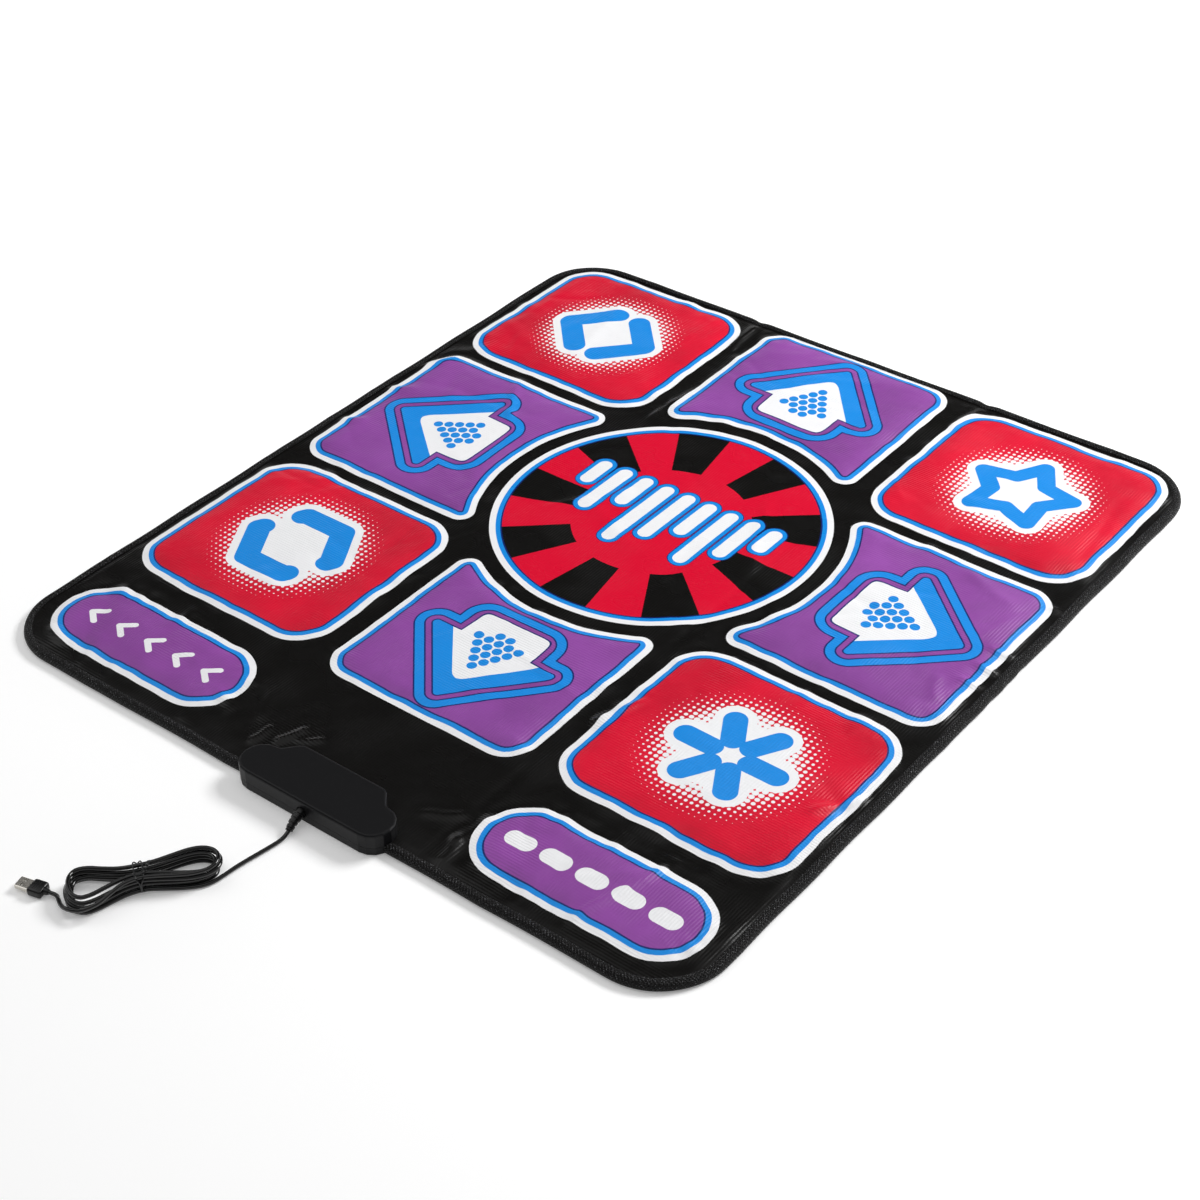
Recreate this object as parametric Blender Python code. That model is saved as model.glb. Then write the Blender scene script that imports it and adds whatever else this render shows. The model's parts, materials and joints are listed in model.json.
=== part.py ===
"""A folding foam dance mat with a control box on its edge and a USB cord.

The mat lies flat with its top up. The player stands on it facing the control box, which is on the
-Y edge, so the player's left is +X. Two creases part the mat into a left, a centre and a right leaf.
All lengths are in metres.
"""

import math

import bmesh
import bpy
from mathutils import Matrix, Vector

# Gap that keeps touching pieces apart
CLEARANCE = 0.0003

# Mat in plan
MAT_WIDTH = 0.820
MAT_LENGTH = 0.912
CORNER_RADIUS = 0.070
BOX_OVERHANG = 0.011
CREASE_X = 0.1315
CREASE_HALF = 0.009

# Layers, from the floor up
BOTTOM_COVER = 0.0014
BASE_FOAM = 0.0028
FILM = 0.0002
SPACER_FOAM = 0.0015
TOP_COVER = 0.0008
TAPE = 0.0006
TAPE_LEG = 0.0075
FOAM_INSET = 0.0040

# Printed pads, set out from the edges of the mat and the creases
PAD_SIDE_MARGIN = 0.0160
ARROW_SIDE_MARGIN = 0.0170
FAR_MARGIN = 0.0137
ARROW_FAR_MARGIN = 0.0080
PILL_MARGIN = 0.0252
PILL_GAP = 0.0287
PILL_HEIGHT = 0.0974
PILL_SIDE_MARGIN = 0.0230
PILL_CREASE_GAP = 0.0145
ROW_GAP = 0.0115
PAD_CREASE_GAP = 0.0104
SIDE_ARROW_MORE = 0.0050
CORNER_PAD_RADIUS = 0.046
SCOOP_RADIUS = 0.1905
ARROW_PAD_RADIUS = 0.032
ARROW_PAD_TIP_RADIUS = 0.016
PAD_CROWN = 0.0016
PAD_SHOULDER = 0.022

# Control box
BOX_X = 0.0125
BOX_WIDTH = 0.175
BOX_LOBE_DEPTH = 0.041
BOX_DEPTH = 0.057
BOX_HEIGHT = 0.0226
HUMP_FOOT = 0.064
HUMP_TOP = 0.050
LOBE_RADIUS = 0.0204
HUMP_RADIUS = 0.012
NOTCH_RADIUS = 0.006
BOX_WALL = 0.0022
BOX_FLOOR = 0.0018
BOX_SPLIT = 0.0082
BOX_EDGE = 0.0024
FOOT_EDGE = 0.0008

# Screws of the box
SCREW_RADIUS = 0.0012
SCREW_HEAD_RADIUS = 0.0026
SCREW_HEAD = 0.0010
SCREW_LENGTH = 0.0120
BOSS_RADIUS = 0.0032
SEAT_RADIUS = 0.0042
SEAT_TOP = 0.0032
LOBE_SCREW_X = 0.067
LOBE_SCREW_DEPTH = 0.0205
HUMP_SCREW_X = 0.041
HUMP_SCREW_DEPTH = 0.0475

# Circuit board and what is on it
BOARD_HALF_X = 0.036
BOARD_WIDTH = 0.030
BOARD = 0.0016
BOARD_CORNER = 0.001
BOARD_FROM_BACK = 0.0060
TAIL_HALF = 0.026
TAIL_REACH = 0.0150
CLAMP_HALF_X = 0.034
CLAMP_WIDTH = 0.0060
CLAMP = 0.0030
CLAMP_SCREW_X = 0.0315
CHIP_SIZE = (0.0100, 0.0075, 0.0022)
CHIP_X = 0.0160
HEADER_SIZE = (0.0090, 0.0060, 0.0062)
PARTS_FROM_FRONT = 0.0062

# Strain relief and cord
CORD_DIAMETER = 0.0038
RELIEF_Z = 0.0097
RELIEF_ROOT_RADIUS = 0.0055
RELIEF_FLANGE_RADIUS = 0.0072
RELIEF_FLANGE = 0.0018
RELIEF_NECK_RADIUS = 0.0042
RELIEF_TIP_RADIUS = 0.0029
RELIEF_RECESS = 0.0008
RELIEF_BEND = (0.0006, -0.0110, -0.0004)
RELIEF_TIP = (0.0034, -0.0200, -0.0052)
RELIEF_RIBS = 4
RELIEF_RIB = 0.0007

# The cord lies on the floor between the strain relief and the hank
LEAD_ROUTE = (
    (0.0170, -0.4890, 0.0028),
    (0.0164, -0.4964, 0.0022),
    (0.0141, -0.5110, 0.0022),
    (0.0115, -0.5257, 0.0022),
    (0.0096, -0.5390, 0.0022),
    (0.0086, -0.5510, 0.0022),
    (0.0067, -0.5635, 0.0022),
)

# Hank of cord, a wound figure with a narrow waist and a wide lobe at each end, in four layers
HANK_X = -0.0405
HANK_Y = -0.6015
HANK_TURN = 54.0
HANK_HALF = 0.0600
HANK_SHIFT = 0.0033
HANK_WAIST = 0.00355
HANK_LOBE = 0.0290
HANK_LOBE_MORE = -0.0083
HANK_STEP = 0.0049
HANK_LAYER = 0.0047
HANK_LAYERS = 4
HANK_FLOOR = 0.0022
HANK_LIFT = 0.0012
HANK_LIFT_REACH = 0.016
HANK_START = 40
HANK_END = 1980
LOOP_POINTS = 24
CLIMB = 90
LAST_OUT = (-85, -45)
LAST_DOWN = (-75, 15)
TAIL_BEND = 0.010
TAIL_TURN = 50

# Tie round the waist of the hank
TIE_THICKNESS = 0.0008
TIE_WIDTH = 0.0032
TIE_END = 0.0100

# USB plug
PLUG_Z = 0.0043
GRIP_LENGTH = 0.0140
GRIP_WIDTH = 0.0155
GRIP_HEIGHT = 0.0080
GRIP_NECK = 0.0040
GRIP_NECK_RADIUS = 0.0030
GRIP_SHOULDER = 0.0020
GRIP_CHEEK = 0.0050
GRIP_CORNER = 0.0020
GRIP_EDGE = 0.0010
SHELL_LENGTH = 0.0125
SHELL_WIDTH = 0.0120
SHELL_HEIGHT = 0.0045
SHELL_WALL = 0.0004
SHELL_CORNER = 0.0008
SHELL_HOLE = 0.0024
SHELL_HOLE_X = 0.0028
TONGUE_WIDTH = 0.0104
TONGUE_HEIGHT = 0.0018
TONGUE_SETBACK = 0.0012
TONGUE_CORNER = 0.0002

# Heights that follow from the layers
FOAM_Z = BOTTOM_COVER + CLEARANCE
LOWER_FILM_Z = FOAM_Z + BASE_FOAM + CLEARANCE
SPACER_Z = LOWER_FILM_Z + FILM + CLEARANCE
COVER_Z = SPACER_Z + SPACER_FOAM + CLEARANCE
CONTACT_Z = COVER_Z - CLEARANCE - FILM
COVER_TOP = COVER_Z + TOP_COVER
TAPE_TOP = COVER_TOP + CLEARANCE + TAPE
CREASE_Z = TAPE_TOP + CLEARANCE
PAD_TRAVEL = CONTACT_Z - LOWER_FILM_Z - FILM - CLEARANCE

# Edges that follow from the plan
FRONT_Y = -(MAT_LENGTH + BOX_OVERHANG) / 2
NEAR_Y = FRONT_Y + BOX_OVERHANG
FAR_Y = NEAR_Y + MAT_LENGTH
LAYER_INSET = TAPE + CLEARANCE
PADS_LENGTH = MAT_LENGTH - FAR_MARGIN - 2 * ROW_GAP - PILL_GAP - PILL_HEIGHT - PILL_MARGIN
CORNER_PAD_HALF_Y = (PADS_LENGTH - 2 * SIDE_ARROW_MORE) / 6
SIDE_ARROW_HALF = CORNER_PAD_HALF_Y + SIDE_ARROW_MORE
ROW_PITCH = CORNER_PAD_HALF_Y + ROW_GAP + SIDE_ARROW_HALF
DISC_Y = FAR_Y - FAR_MARGIN - CORNER_PAD_HALF_Y - ROW_PITCH
CORNER_PAD_HALF_X = (MAT_WIDTH / 2 - PAD_SIDE_MARGIN - CREASE_X - PAD_CREASE_GAP) / 2
COLUMN_PITCH = CREASE_X + PAD_CREASE_GAP + CORNER_PAD_HALF_X
SIDE_ARROW_REACH = MAT_WIDTH / 2 - ARROW_SIDE_MARGIN
END_ARROW_HALF = CREASE_X - PAD_CREASE_GAP
END_ARROW_REACH = FAR_Y - ARROW_FAR_MARGIN - DISC_Y
PILL_HALF_X = (MAT_WIDTH / 2 - PILL_SIDE_MARGIN - CREASE_X - PILL_CREASE_GAP) / 2
PILL_X = CREASE_X + PILL_CREASE_GAP + PILL_HALF_X
PILL_Y = NEAR_Y + PILL_MARGIN + PILL_HEIGHT / 2
BACK_Y = FRONT_Y + BOX_DEPTH
BOARD_Z = LOWER_FILM_Z - CLEARANCE - BOARD
BOARD_BACK = BACK_Y - BOARD_FROM_BACK
BOARD_FRONT = BOARD_BACK - BOARD_WIDTH
CLAMP_Y = BACK_Y - TAIL_REACH + CLAMP_WIDTH / 2

CORNER_STEPS = 4
SCOOP_STEPS = 8
BOX_STEPS = 4


def clear_scene():
    for thing in list(bpy.data.objects):
        bpy.data.objects.remove(thing)


def finish(name, colour, roughness, metallic=0.0):
    """A plain surface material."""
    made = bpy.data.materials.new(name)
    made.use_nodes = True
    shader = made.node_tree.nodes["Principled BSDF"]
    shader.inputs["Base Color"].default_value = (*colour, 1.0)
    shader.inputs["Roughness"].default_value = roughness
    shader.inputs["Metallic"].default_value = metallic
    return made


def arc(centre, radius, start, end, steps):
    """Points along an arc, from one angle in degrees to another."""
    points = []
    for i in range(steps + 1):
        angle = math.radians(start + (end - start) * i / steps)
        points.append((centre[0] + radius * math.cos(angle), centre[1] + radius * math.sin(angle)))
    return points


def grown(corners, amount):
    """The corners of a counterclockwise polygon whose sides all move out by an amount."""
    moved = []
    for i, corner in enumerate(corners):
        here = Vector(corner)
        into = (here - Vector(corners[i - 1])).normalized()
        out = (Vector(corners[(i + 1) % len(corners)]) - here).normalized()
        side_in = Vector((into.y, -into.x))
        side_out = Vector((out.y, -out.x))
        moved.append(tuple(here + (side_in + side_out) * amount / (1 + side_in.dot(side_out))))
    return moved


def rounded(corners, radii, steps):
    """A counterclockwise polygon with each corner turned into an arc of its own radius."""
    points = []
    for i, corner in enumerate(corners):
        here = Vector(corner)
        into = (here - Vector(corners[i - 1])).normalized()
        out = (Vector(corners[(i + 1) % len(corners)]) - here).normalized()
        turn = math.atan2(into.x * out.y - into.y * out.x, into.dot(out))
        back = abs(math.tan(turn / 2)) * radii[i]
        side = Vector((-into.y, into.x)) * math.copysign(radii[i], turn)
        centre = here - into * back + side
        start = math.degrees(math.atan2(-side.y, -side.x))
        points += arc(centre, radii[i], start, start + math.degrees(turn), steps)
    return points


def rectangle(centre, half_x, half_y, radius, steps=CORNER_STEPS):
    """A rectangle with rounded corners."""
    x, y = centre
    corners = [(x - half_x, y - half_y), (x + half_x, y - half_y)]
    corners += [(x + half_x, y + half_y), (x - half_x, y + half_y)]
    return rounded(corners, [radius] * 4, steps)


def corner_pad(side, row, grow=0.0):
    centre = (side * COLUMN_PITCH, DISC_Y + row * ROW_PITCH)
    half_x = CORNER_PAD_HALF_X + grow
    half_y = CORNER_PAD_HALF_Y + grow
    return rectangle(centre, half_x, half_y, CORNER_PAD_RADIUS + grow)


def arrow_pad(turn, half, reach, grow=0.0):
    """A pad whose inner side is scooped round the disc, turned about the disc's centre."""
    wide = half + grow
    out = reach + grow
    scoop = SCOOP_RADIUS - grow
    outer = ARROW_PAD_RADIUS + grow
    tip = ARROW_PAD_TIP_RADIUS + grow
    tip_x = wide - tip
    tip_y = -math.sqrt((scoop + tip) ** 2 - tip_x**2)
    lean = math.degrees(math.atan2(tip_y, tip_x))
    points = arc((outer - wide, outer - out), outer, 180, 270, CORNER_STEPS)
    points += arc((wide - outer, outer - out), outer, 270, 360, CORNER_STEPS)
    points += arc((tip_x, tip_y), tip, 0, 180 + lean, CORNER_STEPS)
    points += arc((0, 0), scoop, lean, -180 - lean, SCOOP_STEPS)[1:-1]
    points += arc((-tip_x, tip_y), tip, -lean, 180, CORNER_STEPS)
    spin = Matrix.Rotation(math.radians(turn), 2)
    return [tuple(spin @ Vector(p) + Vector((0, DISC_Y))) for p in points]


def pill_pad(side, grow=0.0):
    half_y = PILL_HEIGHT / 2 + grow
    return rectangle((side * PILL_X, PILL_Y), PILL_HALF_X + grow, half_y, half_y - CLEARANCE / 2)


# Name, leaf (+1 left, 0 centre, -1 right) and outline of each pad
PADS = (
    ("arrow_pad_up", 0, lambda g: arrow_pad(0, END_ARROW_HALF, END_ARROW_REACH, g)),
    ("arrow_pad_down", 0, lambda g: arrow_pad(180, END_ARROW_HALF, END_ARROW_REACH, g)),
    ("arrow_pad_left", 1, lambda g: arrow_pad(90, SIDE_ARROW_HALF, SIDE_ARROW_REACH, g)),
    ("arrow_pad_right", -1, lambda g: arrow_pad(-90, SIDE_ARROW_HALF, SIDE_ARROW_REACH, g)),
    ("corner_pad_up_left", 1, lambda g: corner_pad(1, -1, g)),
    ("corner_pad_up_right", -1, lambda g: corner_pad(-1, -1, g)),
    ("corner_pad_down_left", 1, lambda g: corner_pad(1, 1, g)),
    ("corner_pad_down_right", -1, lambda g: corner_pad(-1, 1, g)),
    ("select_pad", 1, lambda g: pill_pad(1, g)),
    ("start_pad", -1, lambda g: pill_pad(-1, g)),
)
LEAVES = ((1, "left"), (0, "centre"), (-1, "right"))


def box_outline(grow=0.0):
    """Plan of the control box: a bar with round lobes and a hump that reaches into the mat."""
    half = BOX_WIDTH / 2
    corners = [(-half, 0), (half, 0), (half, BOX_LOBE_DEPTH), (HUMP_FOOT, BOX_LOBE_DEPTH)]
    corners += [(HUMP_TOP, BOX_DEPTH), (-HUMP_TOP, BOX_DEPTH)]
    corners += [(-HUMP_FOOT, BOX_LOBE_DEPTH), (-half, BOX_LOBE_DEPTH)]
    lobe = LOBE_RADIUS + grow
    hump = HUMP_RADIUS + grow
    notch = NOTCH_RADIUS - grow
    radii = [lobe, lobe, lobe, notch, hump, hump, notch, lobe]
    return [(BOX_X + x, FRONT_Y + y) for x, y in rounded(grown(corners, grow), radii, BOX_STEPS)]


def box_notch(edge):
    """The line where the mat stops round the box, from its left to its right as it is drawn."""
    ring = box_outline(CLEARANCE)
    crossings = []
    inside = []
    for i, (x, y) in enumerate(ring):
        last_x, last_y = ring[i - 1]
        if (last_y - edge) * (y - edge) < 0:
            share = (edge - last_y) / (y - last_y)
            crossings.append((last_x + (x - last_x) * share, edge))
        if y > edge:
            inside.append((x, y))
    first = max(range(len(inside)), key=lambda i: inside[i][0] - inside[i][1])
    around = inside[first:] + inside[:first]
    return [min(crossings)] + around[::-1] + [max(crossings)]


def leaf_outline(leaf, inset, margin, tail=False):
    """Plan of one leaf, its outer sides moved in by inset and its crease sides by margin."""
    low = NEAR_Y + inset
    high = FAR_Y - inset
    if leaf == 0:
        x = CREASE_X - margin
        notch = box_notch(low)
        if tail:
            back = max(y for _, y in notch)
            end = BACK_Y - TAIL_REACH
            left = BOX_X - TAIL_HALF
            right = BOX_X + TAIL_HALF
            at = next(i for i, (px, _) in enumerate(notch) if px > right)
            notch[at:at] = [(left, back), (left, end), (right, end), (right, back)]
        return [(-x, low)] + notch + [(x, low), (x, high), (-x, high)]
    radius = CORNER_RADIUS - inset
    inner = CREASE_X + margin
    outer = MAT_WIDTH / 2 - inset
    points = [(inner, low)]
    points += arc((outer - radius, low + radius), radius, 270, 360, 6)
    points += arc((outer - radius, high - radius), radius, 0, 90, 6)
    points.append((inner, high))
    if leaf < 0:
        points = [(-x, y) for x, y in reversed(points)]
    return points


def place(name, bm, look, smooth=None):
    """Turns a bmesh into a named object."""
    bmesh.ops.recalc_face_normals(bm, faces=bm.faces)
    if bm.calc_volume(signed=True) < 0:
        bmesh.ops.reverse_faces(bm, faces=bm.faces)
    mesh = bpy.data.meshes.new(name)
    bm.to_mesh(mesh)
    bm.free()
    mesh.materials.append(look)
    if smooth is not None:
        mesh.shade_smooth()
        mesh.set_sharp_from_angle(angle=math.radians(smooth))
    made = bpy.data.objects.new(name, mesh)
    bpy.context.scene.collection.objects.link(made)
    return made


def move_origin(piece, spot):
    """Puts a piece's origin on a spot without moving the piece."""
    piece.data.transform(Matrix.Translation(-spot))
    piece.location = spot


def ring(bm, points, height):
    verts = [bm.verts.new((x, y, height)) for x, y in points]
    return [bm.edges.new((verts[i - 1], verts[i])) for i in range(len(verts))]


def sheet(name, outline, windows, bottom, thickness, look):
    """A flat layer of one thickness, with its windows cut out."""
    bm = bmesh.new()
    edges = []
    for points in [outline, *windows]:
        edges += ring(bm, points, bottom)
    bmesh.ops.triangle_fill(bm, use_beauty=True, edges=edges)
    raised = bmesh.ops.extrude_face_region(bm, geom=bm.faces[:], use_keep_orig=True)
    top = [v for v in raised["geom"] if isinstance(v, bmesh.types.BMVert)]
    bmesh.ops.translate(bm, vec=(0, 0, thickness), verts=top)
    return place(name, bm, look)


def loft(name, loops, look, smooth=None):
    """A closed solid through loops of as many points each, with a cap on the first and the last."""
    bm = bmesh.new()
    rows = [[bm.verts.new(p) for p in loop] for loop in loops]
    count = len(rows[0])
    for low, high in zip(rows, rows[1:]):
        for i in range(count):
            bm.faces.new((low[i - 1], low[i], high[i], high[i - 1]))
    for end in (rows[0], rows[-1]):
        cap = bm.faces.new(end)
        cap.normal_update()
        bmesh.ops.triangulate(bm, faces=[cap])
    return place(name, bm, look, smooth)


def level(points, height):
    return [(x, y, height) for x, y in points]


def round_section(centre, along, radius, sides):
    """A circle of points square to a direction."""
    turn = Vector(along).to_track_quat("Z", "Y")
    made = []
    for i in range(sides):
        angle = 2 * math.pi * i / sides
        spot = Vector((radius * math.cos(angle), radius * math.sin(angle), 0))
        made.append(Vector(centre) + turn @ spot)
    return made


def turned(name, centre, along, profile, look, sides=12, smooth=35):
    """A turned solid: profile is a list of (distance along the axis, radius)."""
    axis = Vector(along).normalized()
    loops = [round_section(Vector(centre) + axis * at, axis, r, sides) for at, r in profile]
    return loft(name, loops, look, smooth)


def brick(name, centre, size, look, edge=0.0):
    """A box standing on centre, with its corners cut in plan by edge."""
    half_x = size[0] / 2
    half_y = size[1] / 2
    plan = rectangle(centre[:2], half_x, half_y, max(edge, CLEARANCE), 2)
    return loft(name, [level(plan, centre[2]), level(plan, centre[2] + size[2])], look)


def combine(target, tool, operation):
    """Joins a tool to a target or cuts it away, and keeps the tool as a guide."""
    change = target.modifiers.new(tool.name, "BOOLEAN")
    change.operation = operation
    change.solver = "EXACT"
    change.object = tool
    tool.hide_render = True
    tool.display_type = "WIRE"


def tube(name, points, radius, resolution, look):
    """A round cord along points."""
    data = bpy.data.curves.new(name, "CURVE")
    data.dimensions = "3D"
    data.bevel_depth = radius
    data.bevel_resolution = resolution
    data.render_resolution_u = 0
    data.use_fill_caps = True
    line = data.splines.new("POLY")
    line.points.add(len(points) - 1)
    for spot, point in zip(line.points, points):
        spot.co = (*point, 1.0)
    data.materials.append(look)
    made = bpy.data.objects.new(name, data)
    bpy.context.scene.collection.objects.link(made)
    return made


def eased(points, spacing):
    """Evenly spaced points on a smooth curve through a route."""
    route = [Vector(p) for p in points]
    ends = [2 * route[0] - route[1], *route, 2 * route[-1] - route[-2]]
    fine = []
    for a, b, c, d in zip(ends, ends[1:], ends[2:], ends[3:]):
        for i in range(16):
            t = i / 16
            curve = 2 * b + (c - a) * t + (2 * a - 5 * b + 4 * c - d) * t**2
            fine.append((curve + (3 * b - a - 3 * c + d) * t**3) / 2)
    fine.append(route[-1])
    length = sum((q - p).length for p, q in zip(fine, fine[1:]))
    count = max(2, round(length / spacing))
    made = [fine[0]]
    gone = 0.0
    for p, q in zip(fine, fine[1:]):
        step = (q - p).length
        while len(made) < count and gone + step >= len(made) * length / count:
            made.append(p.lerp(q, (len(made) * length / count - gone) / step))
        gone += step
    return [*made, fine[-1]]


def leaf_pieces():
    """The names of all pieces of the two side leaves."""
    layers = ("bottom_cover_", "base_foam_", "lower_film_", "spacer_foam_", "top_cover_", "edge_binding_")
    names = {}
    for leaf, side in LEAVES:
        if leaf:
            own = [name for name, at, _ in PADS if at == leaf]
            names[side] = [layer + side for layer in layers]
            names[side] += own + [name.replace("_pad", "_contact") for name in own]
    return names


def hinge_leaves(names):
    """Hangs the pieces of each side leaf on an empty that lies on its crease."""
    for leaf, side in LEAVES:
        if leaf == 0:
            continue
        pivot = bpy.data.objects.new(side + "_leaf", None)
        pivot.location = (leaf * CREASE_X, 0, CREASE_Z)
        bpy.context.scene.collection.objects.link(pivot)
        for name in names[side]:
            piece = bpy.data.objects[name]
            piece.parent = pivot
            piece.matrix_parent_inverse = Matrix.Translation(pivot.location).inverted()


def mat_layers(looks):
    """The covers, foams and films of the three leaves."""
    for leaf, name in LEAVES:
        windows = [outline(CLEARANCE) for _, at, outline in PADS if at == leaf]
        half = CLEARANCE / 2
        wide = leaf_outline(leaf, LAYER_INSET, half)
        narrow = leaf_outline(leaf, FOAM_INSET, CREASE_HALF)
        under = leaf_outline(leaf, TAPE_LEG + CLEARANCE, half)
        sheet("bottom_cover_" + name, under, [], 0, BOTTOM_COVER, looks["grip"])
        sheet("base_foam_" + name, narrow, [], FOAM_Z, BASE_FOAM, looks["foam"])
        film = leaf_outline(leaf, FOAM_INSET, CREASE_HALF, tail=True)
        sheet("lower_film_" + name, film, [], LOWER_FILM_Z, FILM, looks["film"])
        sheet("spacer_foam_" + name, narrow, windows, SPACER_Z, SPACER_FOAM, looks["foam"])
        sheet("top_cover_" + name, wide, windows, COVER_Z, TOP_COVER, looks["cloth"])


def pads(looks):
    """The printed pads, crowned over their foam, each with the contact film that goes down with it."""
    for name, _, outline in PADS:
        plan = outline(0.0)
        loops = [level(plan, COVER_Z), level(plan, COVER_TOP)]
        loops.append(level(outline(-PAD_SHOULDER / 3), COVER_TOP + PAD_CROWN * 0.6))
        loops.append(level(outline(-PAD_SHOULDER), COVER_TOP + PAD_CROWN))
        colour = "red" if name.startswith("corner") else "purple"
        pad = loft(name, loops, looks[colour], 40)
        film = sheet(name.replace("_pad", "_contact"), plan, [], CONTACT_Z, FILM, looks["film"])
        middle = sum((Vector(p) for p in plan), Vector((0, 0))) / len(plan)
        for piece in (pad, film):
            move_origin(piece, Vector((middle.x, middle.y, COVER_Z)))


def tape_section(point, outward):
    """The folded tape across the edge of the mat at one point of its outline."""
    inward = -Vector((*outward, 0))
    start = Vector((*point, 0))
    top = TAPE_TOP
    shape = [(0, 0), (TAPE_LEG, 0), (TAPE_LEG, BOTTOM_COVER), (TAPE, BOTTOM_COVER), (TAPE, top - TAPE)]
    shape += [(TAPE_LEG, top - TAPE), (TAPE_LEG, top), (0, top)]
    return [start + inward * across + Vector((0, 0, up)) for across, up in shape]


def binding(name, path, look):
    """Woven tape folded over the edge of the mat along a path, with the mat on its left."""
    loops = []
    for i, point in enumerate(path):
        into = Vector(point) - Vector(path[max(i - 1, 0)])
        out = Vector(path[min(i + 1, len(path) - 1)]) - Vector(point)
        sides = [Vector((d.y, -d.x)).normalized() for d in (into, out) if d.length > 0]
        side = sides[0] + sides[-1]
        loops.append(tape_section(point, side * 2 / side.length_squared))
    return loft(name, loops, look)


def bindings(look):
    """The tape round each leaf, parted at the creases and at the control box."""
    for leaf, name in LEAVES:
        if leaf:
            outline = leaf_outline(leaf, 0, CLEARANCE / 2)
            binding("edge_binding_" + name, outline, look)
    end = CREASE_X - CLEARANCE / 2
    notch = box_notch(NEAR_Y)
    reach = box_notch(NEAR_Y + TAPE_LEG)
    first = min(notch[0][0], min(x for x, _ in reach))
    last = max(notch[-1][0], max(x for x, _ in reach))
    binding("edge_binding_centre_far", [(end, FAR_Y), (-end, FAR_Y)], look)
    binding("edge_binding_box_right", [(-end, NEAR_Y), (first, NEAR_Y)], look)
    binding("edge_binding_box_left", [(last, NEAR_Y), (end, NEAR_Y)], look)


def screw_spots():
    for side in (-1, 1):
        yield BOX_X + side * LOBE_SCREW_X, FRONT_Y + LOBE_SCREW_DEPTH
        yield BOX_X + side * HUMP_SCREW_X, FRONT_Y + HUMP_SCREW_DEPTH


def many(name, spots, bottom, top, radius, look, sides=10):
    """A group of upright pegs, for joining or cutting."""
    bm = bmesh.new()
    size = {"segments": sides, "radius1": radius, "radius2": radius, "depth": top - bottom}
    for x, y in spots:
        spot = Matrix.Translation((x, y, (bottom + top) / 2))
        bmesh.ops.create_cone(bm, cap_ends=True, matrix=spot, **size)
    return place(name, bm, look)


def box_shells(looks):
    """The two halves of the control box, with screw bosses, a film slot and a cord hole."""
    ceiling = BOX_HEIGHT - BOX_WALL
    seam = BOX_SPLIT - CLEARANCE / 2
    inner = box_outline(-BOX_WALL)
    outer = box_outline()
    loops = [level(inner, ceiling), level(inner, seam + CLEARANCE), level(outer, seam + CLEARANCE)]
    loops.append(level(outer, BOX_HEIGHT - BOX_EDGE))
    for angle in (30, 60, 90):
        turn = math.radians(angle)
        drawn = box_outline(-BOX_EDGE * (1 - math.cos(turn)))
        loops.append(level(drawn, BOX_HEIGHT - BOX_EDGE * (1 - math.sin(turn))))
    upper = loft("box_top_shell", loops, looks["shell"], 30)
    loops = [level(inner, BOX_FLOOR), level(inner, seam), level(outer, seam)]
    loops += [level(outer, FOOT_EDGE), level(box_outline(-FOOT_EDGE), 0)]
    lower = loft("box_bottom_shell", loops, looks["shell"], 30)

    spots = list(screw_spots())
    pilot = SCREW_RADIUS + CLEARANCE
    boss_foot = SEAT_TOP + CLEARANCE
    bosses = many("boss_guide", spots, boss_foot, ceiling + BOX_WALL / 2, BOSS_RADIUS, looks["shell"])
    blocks = many("seat_block_guide", spots, BOX_FLOOR / 2, SEAT_TOP, SEAT_RADIUS, looks["shell"])
    pilots = many("pilot_guide", spots, 0, SCREW_LENGTH + CLEARANCE, pilot, looks["shell"])
    head = SCREW_HEAD + 2 * CLEARANCE
    seats = many("seat_guide", spots, -BOX_FLOOR, head, SCREW_HEAD_RADIUS + CLEARANCE, looks["shell"])
    combine(upper, bosses, "UNION")
    combine(upper, pilots, "DIFFERENCE")
    combine(lower, blocks, "UNION")
    combine(lower, pilots, "DIFFERENCE")
    combine(lower, seats, "DIFFERENCE")

    posts_at = [(BOX_X + side * CLAMP_SCREW_X, CLAMP_Y) for side in (-1, 1)]
    post_top = BOARD_Z - CLEARANCE
    posts = many("post_guide", posts_at, BOX_FLOOR / 2, post_top, BOSS_RADIUS, looks["shell"])
    hole_foot = BOX_FLOOR / 2 + CLEARANCE
    holes = many("post_hole_guide", posts_at, hole_foot, 2 * post_top, pilot, looks["shell"])
    combine(lower, posts, "UNION")
    combine(lower, holes, "DIFFERENCE")

    slot_low = LOWER_FILM_Z - CLEARANCE
    slot = (2 * (TAIL_HALF + CLEARANCE), 4 * BOX_WALL, FILM + 2 * CLEARANCE)
    combine(lower, brick("slot_guide", (BOX_X, BACK_Y, slot_low), slot, looks["shell"]), "DIFFERENCE")
    start = (BOX_X, FRONT_Y - BOX_WALL, RELIEF_Z)
    profile = [(0, RELIEF_ROOT_RADIUS + CLEARANCE), (2.5 * BOX_WALL, RELIEF_ROOT_RADIUS + CLEARANCE)]
    hole = turned("cord_hole_guide", start, (0, 1, 0), profile, looks["shell"], 16)
    combine(upper, hole, "DIFFERENCE")
    combine(lower, hole, "DIFFERENCE")

    for i, (x, y) in enumerate(spots):
        profile = [(0, SCREW_HEAD_RADIUS), (SCREW_HEAD, SCREW_HEAD_RADIUS), (SCREW_HEAD, SCREW_RADIUS)]
        profile += [(SCREW_LENGTH - SCREW_RADIUS, SCREW_RADIUS), (SCREW_LENGTH, SCREW_RADIUS / 3)]
        turned(f"box_screw_{i + 1}", (x, y, CLEARANCE), (0, 0, 1), profile, looks["steel"], 8)


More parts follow.
